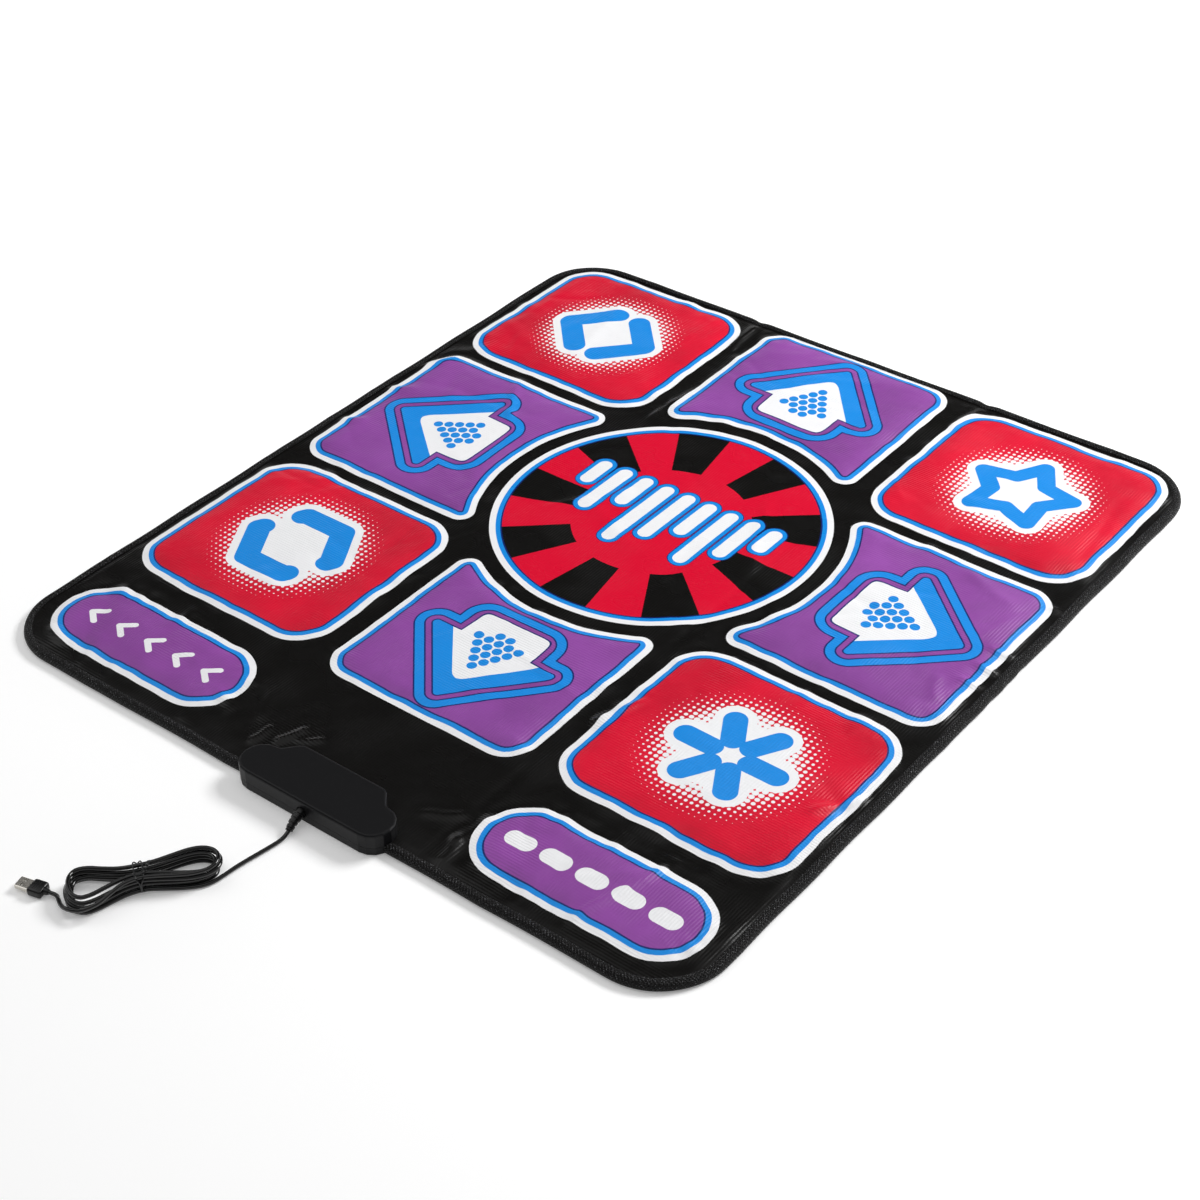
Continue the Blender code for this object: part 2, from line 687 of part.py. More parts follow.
def box_inside(looks):
    """The circuit board, what is on it, and the bar that clamps the film tails to it."""
    clamp_z = LOWER_FILM_Z + FILM + CLEARANCE
    holes = [(BOX_X + side * CLAMP_SCREW_X, CLAMP_Y) for side in (-1, 1)]
    pilot = SCREW_RADIUS + CLEARANCE
    drilled = [arc(spot, pilot, 0, 315, 7) for spot in holes]
    middle = (BOARD_FRONT + BOARD_BACK) / 2
    plan = rectangle((BOX_X, middle), BOARD_HALF_X, BOARD_WIDTH / 2, BOARD_CORNER, 2)
    sheet("circuit_board", plan, drilled, BOARD_Z, BOARD, looks["board"])
    plan = rectangle((BOX_X, CLAMP_Y), CLAMP_HALF_X, CLAMP_WIDTH / 2, BOARD_CORNER, 2)
    sheet("film_clamp_bar", plan, drilled, clamp_z, CLAMP, looks["white"])
    for i, (x, y) in enumerate(holes):
        head = clamp_z + CLAMP + CLEARANCE
        foot = BOX_FLOOR - CLEARANCE
        profile = [(foot - head, SCREW_RADIUS / 2), (foot - head + SCREW_RADIUS, SCREW_RADIUS)]
        profile += [(0, SCREW_RADIUS), (0, SCREW_HEAD_RADIUS), (SCREW_HEAD, SCREW_HEAD_RADIUS * 0.8)]
        turned(f"clamp_screw_{i + 1}", (x, y, head), (0, 0, 1), profile, looks["steel"], 8)
    row = BOARD_FRONT + PARTS_FROM_FRONT
    seat = BOARD_Z + BOARD + CLEARANCE
    brick("controller_chip", (BOX_X + CHIP_X, row, seat), CHIP_SIZE, looks["black"])
    brick("cord_header", (BOX_X, row, seat), HEADER_SIZE, looks["white"])


def relief_line():
    """Points and directions along the strain relief, from the front wall to its tip."""
    start = Vector((BOX_X, FRONT_Y + RELIEF_RECESS, RELIEF_Z))
    bend = start + Vector(RELIEF_BEND)
    tip = start + Vector(RELIEF_TIP)
    steps = 2 * RELIEF_RIBS + 1
    for i in range(steps + 1):
        t = i / steps
        spot = start * (1 - t) ** 2 + bend * 2 * t * (1 - t) + tip * t**2
        yield spot, ((bend - start) * (1 - t) + (tip - bend) * t).normalized()


def strain_relief(look):
    """A ribbed sleeve moulded on the cord, held behind the front wall by its flange."""
    line = list(relief_line())
    start = line[0][0]
    wall_back = FRONT_Y + BOX_WALL + CLEARANCE
    flange_back = wall_back + RELIEF_FLANGE
    sides = 12
    square = (0, -1, 0)
    loops = []
    for y, radius in (
        (flange_back, RELIEF_FLANGE_RADIUS),
        (wall_back, RELIEF_FLANGE_RADIUS),
        (wall_back, RELIEF_ROOT_RADIUS),
        (start.y, RELIEF_ROOT_RADIUS),
    ):
        loops.append(round_section((BOX_X, y, RELIEF_Z), square, radius, sides))
    for i, (spot, along) in enumerate(line):
        share = i / (len(line) - 1)
        radius = RELIEF_NECK_RADIUS + (RELIEF_TIP_RADIUS - RELIEF_NECK_RADIUS) * share
        if i % 2 and i < len(line) - 1:
            radius -= RELIEF_RIB
        loops.append(round_section(spot, along, radius, sides))
    loft("strain_relief", loops, look, 30)
    return flange_back


def ease(value, low, high):
    """Rises smoothly from 0 at low to 1 at high."""
    share = min(1, max(0, (value - low) / (high - low)))
    return share**2 * (3 - 2 * share)


def hank_point(angle, out=0.0):
    """A point of the hank at an angle along its winding, in the hank's own plan, and its direction."""
    turn = math.radians(angle)
    c = math.cos(turn)
    s = math.sin(turn)
    lobe = HANK_LOBE + HANK_LOBE_MORE * c
    spot = Vector((HANK_HALF * c + HANK_SHIFT * c**2, s * (HANK_WAIST + lobe * c**2)))
    slope_x = -HANK_HALF * s - 2 * HANK_SHIFT * c * s
    slope_y = c * (HANK_WAIST + lobe * c**2) - s**2 * c * (HANK_LOBE_MORE * c + 2 * lobe)
    slope = Vector((slope_x, slope_y)).normalized()
    return spot + Vector((slope.y, -slope.x)) * out, slope


def hank_world(spot, height):
    """Carries a point of the hank's plan into the room."""
    turn = math.radians(HANK_TURN)
    ahead = Vector((math.cos(turn), math.sin(turn)))
    aside = Vector((ahead.y, -ahead.x))
    flat = Vector((HANK_X, HANK_Y)) + ahead * spot[0] + aside * spot[1]
    lift = HANK_LIFT * math.exp(-((spot[0] / HANK_LIFT_REACH) ** 2))
    return Vector((flat.x, flat.y, height + lift))


def hank_line():
    """The hank's winding, inwards and outwards by turns, and its end laid down beside it."""
    period = (HANK_END - HANK_START) / HANK_LAYERS
    reach = HANK_STEP * period / 360
    steps = round((HANK_END - HANK_START) * LOOP_POINTS / 360)
    rise = HANK_LAYER * (HANK_LAYERS - 1)
    points = []
    for i in range(steps + 1):
        angle = HANK_START + (HANK_END - HANK_START) * i / steps
        layer, phase = divmod((angle - HANK_START) / period, 1)
        if layer == HANK_LAYERS:
            layer, phase = HANK_LAYERS - 1, 1
        out = reach * (phase if layer % 2 else 1 - phase)
        out += HANK_STEP * ease(angle - HANK_END, *LAST_OUT)
        climbed = sum(
            ease(angle - HANK_START - period * k, -CLIMB / 2, CLIMB / 2) for k in range(1, HANK_LAYERS)
        )
        height = HANK_FLOOR + HANK_LAYER * climbed
        height += (PLUG_Z - HANK_FLOOR - rise) * ease(angle - HANK_END, *LAST_DOWN)
        points.append(hank_world(hank_point(angle, out)[0], height))
    first, into = hank_point(HANK_START, reach)
    end = hank_point(HANK_END, reach + HANK_STEP)[0]
    bend = 6
    for i in range(1, bend + 1):
        turn = math.radians(TAIL_TURN * i / bend)
        spot = Vector((end.x - TAIL_BEND * (1 - math.cos(turn)), end.y - TAIL_BEND * math.sin(turn)))
        down = ease(LAST_DOWN[1] * i / bend, *LAST_DOWN)
        points.append(hank_world(spot, HANK_FLOOR + rise + (PLUG_Z - HANK_FLOOR - rise) * down))
    heading = Vector((-math.sin(turn), -math.cos(turn)))
    points.append(hank_world(spot + heading * CORD_DIAMETER, PLUG_Z))
    return [hank_world(first - into * CORD_DIAMETER, HANK_FLOOR), *points]


def tightest(points):
    """The least radius that a line of points turns at."""
    least = 1.0
    for a, b, c in zip(points, points[1:], points[2:]):
        turn = (b - a).angle(c - b)
        if turn > 0.001:
            least = min(least, ((b - a).length + (c - b).length) / 2 / turn)
    return least


def least_gap(points, diameter):
    """The least gap between parts of a cord that are over a loop's fold apart along it."""
    fine = []
    for p, q in zip(points, points[1:]):
        fine += [p.lerp(q, i / 4) for i in range(4)]
    gone = [0.0]
    for p, q in zip(fine, fine[1:]):
        gone.append(gone[-1] + (q - p).length)
    least = 1.0
    for i, p in enumerate(fine):
        for j in range(i + 1, len(fine)):
            if gone[j] - gone[i] > 6 * diameter:
                least = min(least, (p - fine[j]).length)
    return least - diameter


def cord(looks, flange_back):
    """The free lead, the hank and the short stretch inside the box."""
    hank = hank_line()
    tube("cord_hank", hank, CORD_DIAMETER / 2, 1, looks["cord"])
    print("cord_hank least gap to itself, mm:", round(1000 * least_gap(hank, CORD_DIAMETER), 2))
    print("cord_hank tightest bend, radius in mm:", round(1000 * tightest(hank), 1))
    tip, along = list(relief_line())[-1]
    first = tip + along * CLEARANCE
    into = (hank[1] - hank[0]).normalized()
    last = hank[0] - into * CLEARANCE
    middle = [Vector(p) for p in LEAD_ROUTE]
    route = eased([first + along * CORD_DIAMETER, *middle, last - into * CORD_DIAMETER], 2 * CORD_DIAMETER)
    lead = [first, *route, last]
    tube("cord_lead", lead, CORD_DIAMETER / 2, 2, looks["cord"])
    for name, line in (("cord_lead", lead), ("cord_hank", hank)):
        length = sum((q - p).length for p, q in zip(line, line[1:]))
        print(name, "length, mm:", round(1000 * length))
    row = BOARD_FRONT + PARTS_FROM_FRONT
    front = row - HEADER_SIZE[1] / 2 - CLEARANCE
    start = Vector((BOX_X, flange_back + CLEARANCE, RELIEF_Z))
    end = Vector((BOX_X, front, BOARD_Z + BOARD + CLEARANCE + HEADER_SIZE[2] / 2))
    part = Vector((0, CORD_DIAMETER / 2, 0))
    tube("cord_inner", [start, start + part, end - part, end], CORD_DIAMETER / 2, 2, looks["cord"])
    return hank


def tie(look):
    """A wire tie wrapped once round the waist of the hank, its ends twisted together on top."""
    outer_run = HANK_STEP * (HANK_END - HANK_START) / HANK_LAYERS / 360
    half = HANK_WAIST + outer_run + CORD_DIAMETER / 2 + CLEARANCE
    low = HANK_FLOOR + HANK_LIFT - CORD_DIAMETER / 2 - CLEARANCE
    high = low + HANK_LAYER * (HANK_LAYERS - 1) + CORD_DIAMETER + 2 * CLEARANCE
    middle = (low + high) / 2
    turn = math.radians(HANK_TURN)
    ahead = Vector((math.cos(turn), math.sin(turn), 0))
    aside = Vector((ahead.y, -ahead.x, 0))
    rows = []
    bm = bmesh.new()
    for along, thick in ((-1, 0), (-1, TIE_THICKNESS), (1, TIE_THICKNESS), (1, 0)):
        plan = rectangle((0, middle), half + thick, (high - low) / 2 + thick, CORD_DIAMETER / 2 + thick, 2)
        start = Vector((HANK_X, HANK_Y, 0)) + ahead * along * TIE_WIDTH / 2
        rows.append([bm.verts.new(start + aside * x + Vector((0, 0, z))) for x, z in plan])
    for a, b in zip(rows, rows[1:] + rows[:1]):
        for i in range(len(a)):
            bm.faces.new((a[i - 1], a[i], b[i], b[i - 1]))
    band = place("cord_tie", bm, look, 40)
    start = Vector((HANK_X, HANK_Y, high + TIE_THICKNESS / 2)) - aside * TIE_END / 2
    reach = aside * TIE_END + Vector((0, 0, TIE_WIDTH))
    profile = [(0, TIE_THICKNESS), (reach.length, TIE_THICKNESS)]
    combine(band, turned("tie_end_guide", start, reach, profile, look, 6), "UNION")


def plug(looks, hank):
    """A USB plug lying on the floor at the cord's end: grip, metal shell and contact tongue."""
    back = hank[-1]
    ahead = (hank[-1] - hank[-2]).normalized()
    ahead.z = 0
    ahead.normalize()
    aside = Vector((-ahead.y, ahead.x, 0))
    up = Vector((0, 0, 1))

    def section(at, half_width, half_height, radius, height=0.0):
        plan = rectangle((0, height), half_width, half_height, radius, 2)
        return [back + ahead * at + aside * x + up * z for x, z in plan]

    start = CLEARANCE
    neck = start + GRIP_NECK
    end = neck + GRIP_LENGTH
    half_x = GRIP_WIDTH / 2
    half_z = GRIP_HEIGHT / 2
    small = GRIP_NECK_RADIUS
    corner = GRIP_CORNER
    loops = [section(start, small, small, small * 0.8)]
    loops.append(section(neck, small * 1.3, small, small * 0.8))
    loops.append(section(neck + GRIP_SHOULDER, half_x * 0.9, half_z * 0.9, corner))
    loops.append(section(neck + GRIP_CHEEK, half_x, half_z, corner))
    loops.append(section(end - GRIP_EDGE, half_x, half_z, corner))
    loops.append(section(end, half_x - GRIP_EDGE, half_z - GRIP_EDGE, corner - GRIP_EDGE))
    loft("plug_grip", loops, looks["rubber"], 30)
    mouth = end + CLEARANCE + SHELL_LENGTH
    root = end + CLEARANCE
    wide = SHELL_WIDTH / 2
    tall = SHELL_HEIGHT / 2
    wall = SHELL_WALL
    floor = root + wall
    corner = SHELL_CORNER
    loops = [section(root, wide, tall, corner), section(mouth, wide, tall, corner)]
    loops.append(section(mouth, wide - wall, tall - wall, corner - wall))
    loops.append(section(floor, wide - wall, tall - wall, corner - wall))
    shell = loft("plug_shell", loops, looks["steel"])
    bm = bmesh.new()
    for side in (-1, 1):
        spot = back + ahead * (mouth - SHELL_LENGTH * 0.45) + aside * side * SHELL_HOLE_X + up * tall
        grid = Matrix((ahead, aside, up)).transposed().to_4x4()
        size = Matrix.Diagonal((SHELL_HOLE, SHELL_HOLE, 4 * wall, 1))
        bmesh.ops.create_cube(bm, size=1.0, matrix=Matrix.Translation(spot) @ grid @ size)
    combine(shell, place("shell_hole_guide", bm, looks["steel"]), "DIFFERENCE")
    lift = tall - wall - CLEARANCE - TONGUE_HEIGHT / 2 - wall
    front = mouth - TONGUE_SETBACK
    half_x = TONGUE_WIDTH / 2
    half_z = TONGUE_HEIGHT / 2
    loops = [section(floor + CLEARANCE, half_x, half_z, TONGUE_CORNER, lift)]
    loops.append(section(front, half_x, half_z, TONGUE_CORNER, lift))
    loft("plug_tongue", loops, looks["white"])


def main():
    clear_scene()
    looks = {
        "cloth": finish("coated_cloth", (0.010, 0.010, 0.010), 0.42),
        "grip": finish("grip_cloth", (0.030, 0.030, 0.032), 0.75),
        "tape": finish("woven_tape", (0.012, 0.012, 0.012), 0.80),
        "foam": finish("foam", (0.55, 0.56, 0.58), 0.90),
        "film": finish("polyester_film", (0.62, 0.66, 0.60), 0.30),
        "red": finish("red_print", (0.62, 0.010, 0.035), 0.45),
        "purple": finish("purple_print", (0.27, 0.065, 0.36), 0.45),
        "shell": finish("moulded_shell", (0.012, 0.012, 0.013), 0.45),
        "steel": finish("plated_steel", (0.60, 0.58, 0.55), 0.30, 1.0),
        "board": finish("board_green", (0.02, 0.16, 0.06), 0.50),
        "black": finish("chip_black", (0.02, 0.02, 0.02), 0.50),
        "white": finish("white_nylon", (0.75, 0.75, 0.72), 0.50),
        "cord": finish("cord_jacket", (0.010, 0.010, 0.010), 0.38),
        "rubber": finish("moulded_rubber", (0.012, 0.012, 0.012), 0.55),
    }
    mat_layers(looks)
    pads(looks)
    bindings(looks["tape"])
    box_shells(looks)
    box_inside(looks)
    flange_back = strain_relief(looks["rubber"])
    hank = cord(looks, flange_back)
    tie(looks["rubber"])
    plug(looks, hank)
    hinge_leaves(leaf_pieces())
    print("pad travel, mm:", round(1000 * PAD_TRAVEL, 2), "crease axis z, mm:", round(1000 * CREASE_Z, 2))


main()
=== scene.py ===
# %% [markdown]
# A folding dance mat. It is two coated cloths with foam and contact films between them, bound with
# tape round the edge, and a small control box that a wound USB cord leaves. The script dresses the
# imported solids, which give every size and every motion: it replaces what is soft, and gives the
# rigid pieces their finish. The player stands on the mat facing the box, on the -Y edge.

import json
import math

import bmesh
import bpy
import numpy as np
from mathutils import Matrix, Vector


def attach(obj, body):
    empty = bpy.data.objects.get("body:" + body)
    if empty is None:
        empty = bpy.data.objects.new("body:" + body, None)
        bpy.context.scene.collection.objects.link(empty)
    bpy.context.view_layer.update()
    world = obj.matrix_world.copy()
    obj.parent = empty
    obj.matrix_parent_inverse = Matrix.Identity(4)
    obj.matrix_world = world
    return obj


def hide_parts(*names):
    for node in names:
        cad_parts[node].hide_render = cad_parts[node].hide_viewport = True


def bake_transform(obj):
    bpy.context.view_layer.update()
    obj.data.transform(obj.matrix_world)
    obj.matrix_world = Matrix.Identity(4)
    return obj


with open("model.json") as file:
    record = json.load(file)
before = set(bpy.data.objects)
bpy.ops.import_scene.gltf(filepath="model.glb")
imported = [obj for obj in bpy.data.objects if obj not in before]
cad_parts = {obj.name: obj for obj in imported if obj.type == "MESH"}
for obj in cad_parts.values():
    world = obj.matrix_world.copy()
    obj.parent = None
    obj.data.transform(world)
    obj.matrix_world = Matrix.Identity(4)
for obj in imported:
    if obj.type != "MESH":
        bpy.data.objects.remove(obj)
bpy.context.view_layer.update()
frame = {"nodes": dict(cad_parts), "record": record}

# %% [markdown]
# The camera comes first, because the cord may not spread far outside its view. Its angle, distance
# and lens were solved from the corners of the printed panels in the photograph.

# %% Camera
CAMERA_TURN = math.radians(39.04)
CAMERA_RISE = math.radians(37.24)
CAMERA_ROLL = math.radians(-1.536)
CAMERA_AWAY = 2.2096
CAMERA_TARGET = Vector((0.0318, -0.0667, 0.008))

back = Vector((
    math.sin(CAMERA_TURN) * math.cos(CAMERA_RISE),
    -math.cos(CAMERA_TURN) * math.cos(CAMERA_RISE),
    math.sin(CAMERA_RISE),
))
right = Vector((math.cos(CAMERA_TURN), math.sin(CAMERA_TURN), 0))
up = back.cross(right)
rolled_right = right * math.cos(CAMERA_ROLL) + up * math.sin(CAMERA_ROLL)
rolled_up = up * math.cos(CAMERA_ROLL) - right * math.sin(CAMERA_ROLL)
lens = bpy.data.cameras.new("camera")
lens.lens = 68.39
lens.sensor_width = 36
camera = bpy.data.objects.new("camera", lens)
camera.matrix_world = Matrix.Translation(CAMERA_TARGET + back * CAMERA_AWAY) @ Matrix(
    (rolled_right, rolled_up, back)
).transposed().to_4x4()
bpy.context.scene.collection.objects.link(camera)
bpy.context.scene.camera = camera
print("camera at", [round(v, 3) for v in camera.location])

# %% [markdown]
# The mat is printed like a chart: every panel has a fixed place. The next values set it out in
# metres, as the solids have it, and each panel's outline is drawn once and used for its mesh, for
# the window in the cloth and for the puckers round it.

# %% Layout of the mat
HALF_WIDTH = 0.410
FAR = 0.4615
NEAR = -0.4505
CORNER = 0.070
CREASE = 0.1315
DISC_Y = 0.0743
DISC_RADIUS = 0.1746
CLOTH_TOP = 0.0079
CLOTH = 0.0007
GAP = 0.0002
PAD_CLEARANCE = 0.0006
PAD_CLOTH = 0.0010
BOX_X = 0.0125
BOX_HALF = 0.0875
BOX_END_RADIUS = 0.0204
BOX_FRONT = -0.4615
SIDES = ((1, "left"), (-1, "right"))


def arc(centre, radius, start, end, steps):
    """Points along an arc between two angles in degrees."""
    spots = []
    for i in range(steps + 1):
        turn = math.radians(start + (end - start) * i / steps)
        spots.append((centre[0] + radius * math.cos(turn), centre[1] + radius * math.sin(turn)))
    return spots


def soft_rectangle(x, y, half_x, half_y, radius):
    """A counterclockwise rectangle with round corners."""
    spots = []
    for start, dx, dy in ((0, 1, 1), (90, -1, 1), (180, -1, -1), (270, 1, -1)):
        centre = (x + dx * half_x - dx * radius, y + dy * half_y - dy * radius)
        spots += arc(centre, radius, start, start + 90, 12)
    return spots


SCOOP_RADIUS = 0.1905
ARROW_RADIUS = 0.032
ARROW_TIP_RADIUS = 0.016
CORNER_RADIUS = 0.046
PILL_RADIUS = 0.0485


def scooped(turn, half, reach, grow=0.0):
    """An arrow panel: its inner side is scooped round the disc."""
    half += grow
    reach += grow
    scoop = SCOOP_RADIUS - grow
    outer = ARROW_RADIUS + grow
    tip = ARROW_TIP_RADIUS + grow
    tip_x = half - tip
    tip_y = -math.sqrt((scoop + tip) ** 2 - tip_x**2)
    lean = math.degrees(math.atan2(tip_y, tip_x))
    spots = arc((outer - half, outer - reach), outer, 180, 270, 12)
    spots += arc((half - outer, outer - reach), outer, 270, 360, 12)
    spots += arc((tip_x, tip_y), tip, 0, 180 + lean, 10)
    spots += arc((0, 0), scoop, lean, -180 - lean, 30)[1:-1]
    spots += arc((-tip_x, tip_y), tip, -lean, 180, 10)
    spin = Matrix.Rotation(math.radians(turn), 2)
    return [tuple(spin @ Vector(s) + Vector((0, DISC_Y))) for s in spots]


def outline(name, grow=0.0):
    """The outline of one printed panel, grown by a clearance."""
    kind, place, half, size = PANELS[name]
    if kind == "arrow":
        return scooped(place, half, size, grow)
    radius = (CORNER_RADIUS if kind == "corner" else PILL_RADIUS) + grow
    return soft_rectangle(*place, half + grow, size + grow, radius)


PANELS = {
    "arrow_pad_up": ("arrow", 0, 0.1211, 0.3792),
    "arrow_pad_down": ("arrow", 180, 0.1211, 0.3792),
    "arrow_pad_left": ("arrow", 90, 0.124, 0.393),
    "arrow_pad_right": ("arrow", -90, 0.124, 0.393),
    "corner_pad_up_left": ("corner", (0.26795, -0.1802), 0.12605, 0.119),
    "corner_pad_up_right": ("corner", (-0.26795, -0.1802), 0.12605, 0.119),
    "corner_pad_down_left": ("corner", (0.26795, 0.3288), 0.12605, 0.119),
    "corner_pad_down_right": ("corner", (-0.26795, 0.3288), 0.12605, 0.119),
    "select_pad": ("pill", (0.2665, -0.3766), 0.1205, 0.0487),
    "start_pad": ("pill", (-0.2665, -0.3766), 0.1205, 0.0487),
}
RINGS = {name: outline(name) for name in PANELS}
print("panels:", len(RINGS))

# %% [markdown]
# No cloth lies flat. Each pad is crowned over its foam, the cloth puckers round the heat-pressed
# rim of each panel, and it dips at the two creases. One height over the floor for every spot of
# the mat gives them all, so pieces that meet share it. The puckers are waves that run along a
# panel's outline and fade away from it, because that is how pressed cloth gathers.

# %% Height of the cloth
def nearest_on(ring, x, y):
    """Distance inside an outline, below zero outside it, and how far along it that is."""
    best = np.full(x.shape, 9.0)
    along = np.zeros(x.shape)
    inside = np.zeros(x.shape, bool)
    gone = 0.0
    for (ax, ay), (bx, by) in zip(ring, ring[1:] + ring[:1]):
        dx, dy = bx - ax, by - ay
        size = math.hypot(dx, dy)
        if size < 1e-9:
            continue
        share = np.clip(((x - ax) * dx + (y - ay) * dy) / size**2, 0, 1)
        away = np.hypot(x - ax - share * dx, y - ay - share * dy)
        near = away < best
        best[near] = away[near]
        along[near] = gone + share[near] * size
        if dy:
            inside ^= ((ay > y) != (by > y)) & (x < dx * (y - ay) / dy + ax)
        gone += size
    return np.where(inside, best, -best), along, gone


def eased(value):
    """Rises smoothly from 0 to 1."""
    value = np.clip(value, 0, 1)
    return value * value * (3 - 2 * value)


def ridge(x, y, start, end, width, height):
    """A fold of the cloth along a line, which dies out at its ends."""
    dx, dy = end[0] - start[0], end[1] - start[1]
    size = math.hypot(dx, dy)
    share = ((x - start[0]) * dx + (y - start[1]) * dy) / size**2
    across = ((x - start[0]) * dy - (y - start[1]) * dx) / size
    across = across + 0.15 * width * np.sin(share * 9)
    fade = eased(share * 4) * eased((1 - share) * 4)
    return height * np.exp(-((across / width) ** 2)) * fade


# Each fold that is seen for itself: its start, end, width and height in metres.
FOLDS = (
    ((-0.074, -0.412), (-0.060, -0.372), 0.0038, 0.0034),
    ((-0.062, -0.398), (-0.036, -0.376), 0.0036, 0.0026),
    ((-0.091, -0.426), (-0.090, -0.388), 0.0040, 0.0026),
    ((-0.098, -0.400), (-0.140, -0.340), 0.0060, 0.0016),
    ((0.153, -0.446), (0.143, -0.396), 0.0050, 0.0024),
    ((0.143, -0.420), (0.150, -0.360), 0.0080, 0.0024),
    ((0.088, -0.404), (0.140, -0.372), 0.0060, 0.0016),
    ((0.276, -0.440), (0.314, -0.306), 0.0048, 0.0026),
    ((0.138, -0.222), (0.164, -0.158), 0.0050, 0.0032),
    ((0.362, -0.206), (0.398, -0.146), 0.0050, 0.0032),
    ((0.368, 0.032), (0.407, 0.040), 0.0044, 0.0028),
    ((0.370, 0.060), (0.407, 0.064), 0.0040, 0.0024),
    ((0.368, 0.087), (0.407, 0.094), 0.0044, 0.0026),
    ((0.352, 0.030), (0.374, -0.012), 0.0050, 0.0016),
    ((0.280, 0.188), (0.372, 0.150), 0.0070, 0.0016),
    ((0.396, -0.378), (0.402, -0.300), 0.0040, 0.0020),
    ((0.384, 0.180), (0.408, 0.176), 0.0040, 0.0022),
    ((-0.290, 0.196), (-0.240, 0.118), 0.0050, 0.0022),
    ((-0.146, 0.456), (-0.134, 0.372), 0.0050, 0.0028),
    ((0.157, 0.456), (0.143, 0.380), 0.0050, 0.0028),
    ((-0.120, 0.300), (-0.128, 0.210), 0.0050, 0.0018),
    ((-0.376, -0.412), (-0.330, -0.428), 0.0050, 0.0022),
    ((-0.330, -0.300), (-0.180, -0.316), 0.0050, -0.0012),
    ((0.180, -0.312), (0.350, -0.306), 0.0050, -0.0012),
    ((-0.120, 0.010), (-0.040, 0.120), 0.0060, 0.0012),
    ((0.060, 0.180), (0.130, 0.040), 0.0060, 0.0012),
    ((-0.404, 0.146), (-0.366, 0.198), 0.0060, 0.0034),
    ((-0.404, 0.096), (-0.362, 0.112), 0.0060, 0.0024),
    ((-0.404, 0.018), (-0.362, 0.034), 0.0060, 0.0024),
)


def creases(seed, low, high, count):
    """Small folds left from rolling and packing, strewn over a rectangle."""
    draw = np.random.default_rng(seed)
    made = []
    for _ in range(count):
        x, y = draw.uniform(low, high)
        turn = draw.uniform(0, math.pi)
        reach = draw.uniform(0.025, 0.075)
        start = (x - reach * math.cos(turn), y - reach * math.sin(turn))
        end = (x + reach * math.cos(turn), y + reach * math.sin(turn))
        width = draw.uniform(0.004, 0.009)
        made.append((start, end, width, draw.choice((-1, 1)) * draw.uniform(0.0003, 0.0010)))
    return made


PUCKER_RANDOM = np.random.default_rng(11)
PUCKERS = {
    name: [
        (cycles, PUCKER_RANDOM.uniform(0, 2 * math.pi), PUCKER_RANDOM.uniform(0.4, 1.0) * size)
        for cycles, size in ((5, 0.9), (9, 1.0), (14, 0.8), (21, 0.7), (31, 0.5))
    ]
    for name in PANELS
}
CREASES = {
    name: creases(seed, np.min(ring, 0), np.max(ring, 0), 9)
    for seed, (name, ring) in enumerate(RINGS.items())
}
LOOSE_CREASES = creases(77, (-HALF_WIDTH, NEAR), (HALF_WIDTH, FAR), 40)

CLOTH_SLACK = 0.0006
PAD_CROWN = 0.0030
PUCKER = 0.00075
RIM_DIP = 0.0006
CREASE_DIP = 0.0008
FOAM_GIVE = 0.0004
UNDER_TAPE = 0.0078
PANEL_REACH = 0.045


def cloth_height(x, y):
    """Height of the cloth's upper face over the floor, with the mat at rest.

    The logarithm keeps it over the foam: a dip that would go through the foam is flattened there.
    """
    z = np.full(x.shape, CLOTH_TOP + CLOTH_SLACK)
    z += 0.0005 * np.sin(11 * x + 5 * y + 0.6) + 0.0005 * np.sin(-7 * x + 13 * y + 2.0)
    z += 0.0004 * np.sin(41 * x + 23 * y) * np.sin(17 * y - 29 * x + 1.0)
    for name, ring in RINGS.items():
        spots = np.array(ring)
        low, high = spots.min(0) - PANEL_REACH, spots.max(0) + PANEL_REACH
        near = (x > low[0]) & (x < high[0]) & (y > low[1]) & (y < high[1])
        rim, along, around = nearest_on(ring, x[near], y[near])
        lift = PAD_CROWN * eased((rim + 0.003) / 0.030)
        wave = sum(
            size * np.sin(2 * math.pi * cycles * along / around + phase)
            for cycles, phase, size in PUCKERS[name]
        )
        gathered = eased(0.5 + np.sin(6 * math.pi * along / around + PUCKERS[name][0][1]))
        wave = wave * (0.35 + gathered)
        lift += PUCKER * wave * np.exp(-(((rim - 0.002) / 0.015) ** 2))
        lift -= RIM_DIP * np.exp(-(((rim + 0.005) / 0.005) ** 2))
        z[near] += lift + sum(ridge(x[near], y[near], *crease) for crease in CREASES[name])
    for fold in (*FOLDS, *LOOSE_CREASES):
        z += ridge(x, y, *fold)
    z -= CREASE_DIP * np.exp(-(((np.abs(x) - CREASE) / 0.0060) ** 2))
    z = CLOTH_TOP + FOAM_GIVE * np.log1p(np.exp((z - CLOTH_TOP) / FOAM_GIVE))
    rim = np.minimum(HALF_WIDTH - np.abs(x), np.minimum(FAR - y, y - NEAR))
    return z + (UNDER_TAPE - z) * eased(1 - (rim - 0.008) / 0.010)


sample = cloth_height(np.array([0.0, 0.27, CREASE]), np.array([0.07, -0.18, 0.2]))
print("cloth height at the disc, a pad and a crease, mm:", (sample * 1000).round(2))
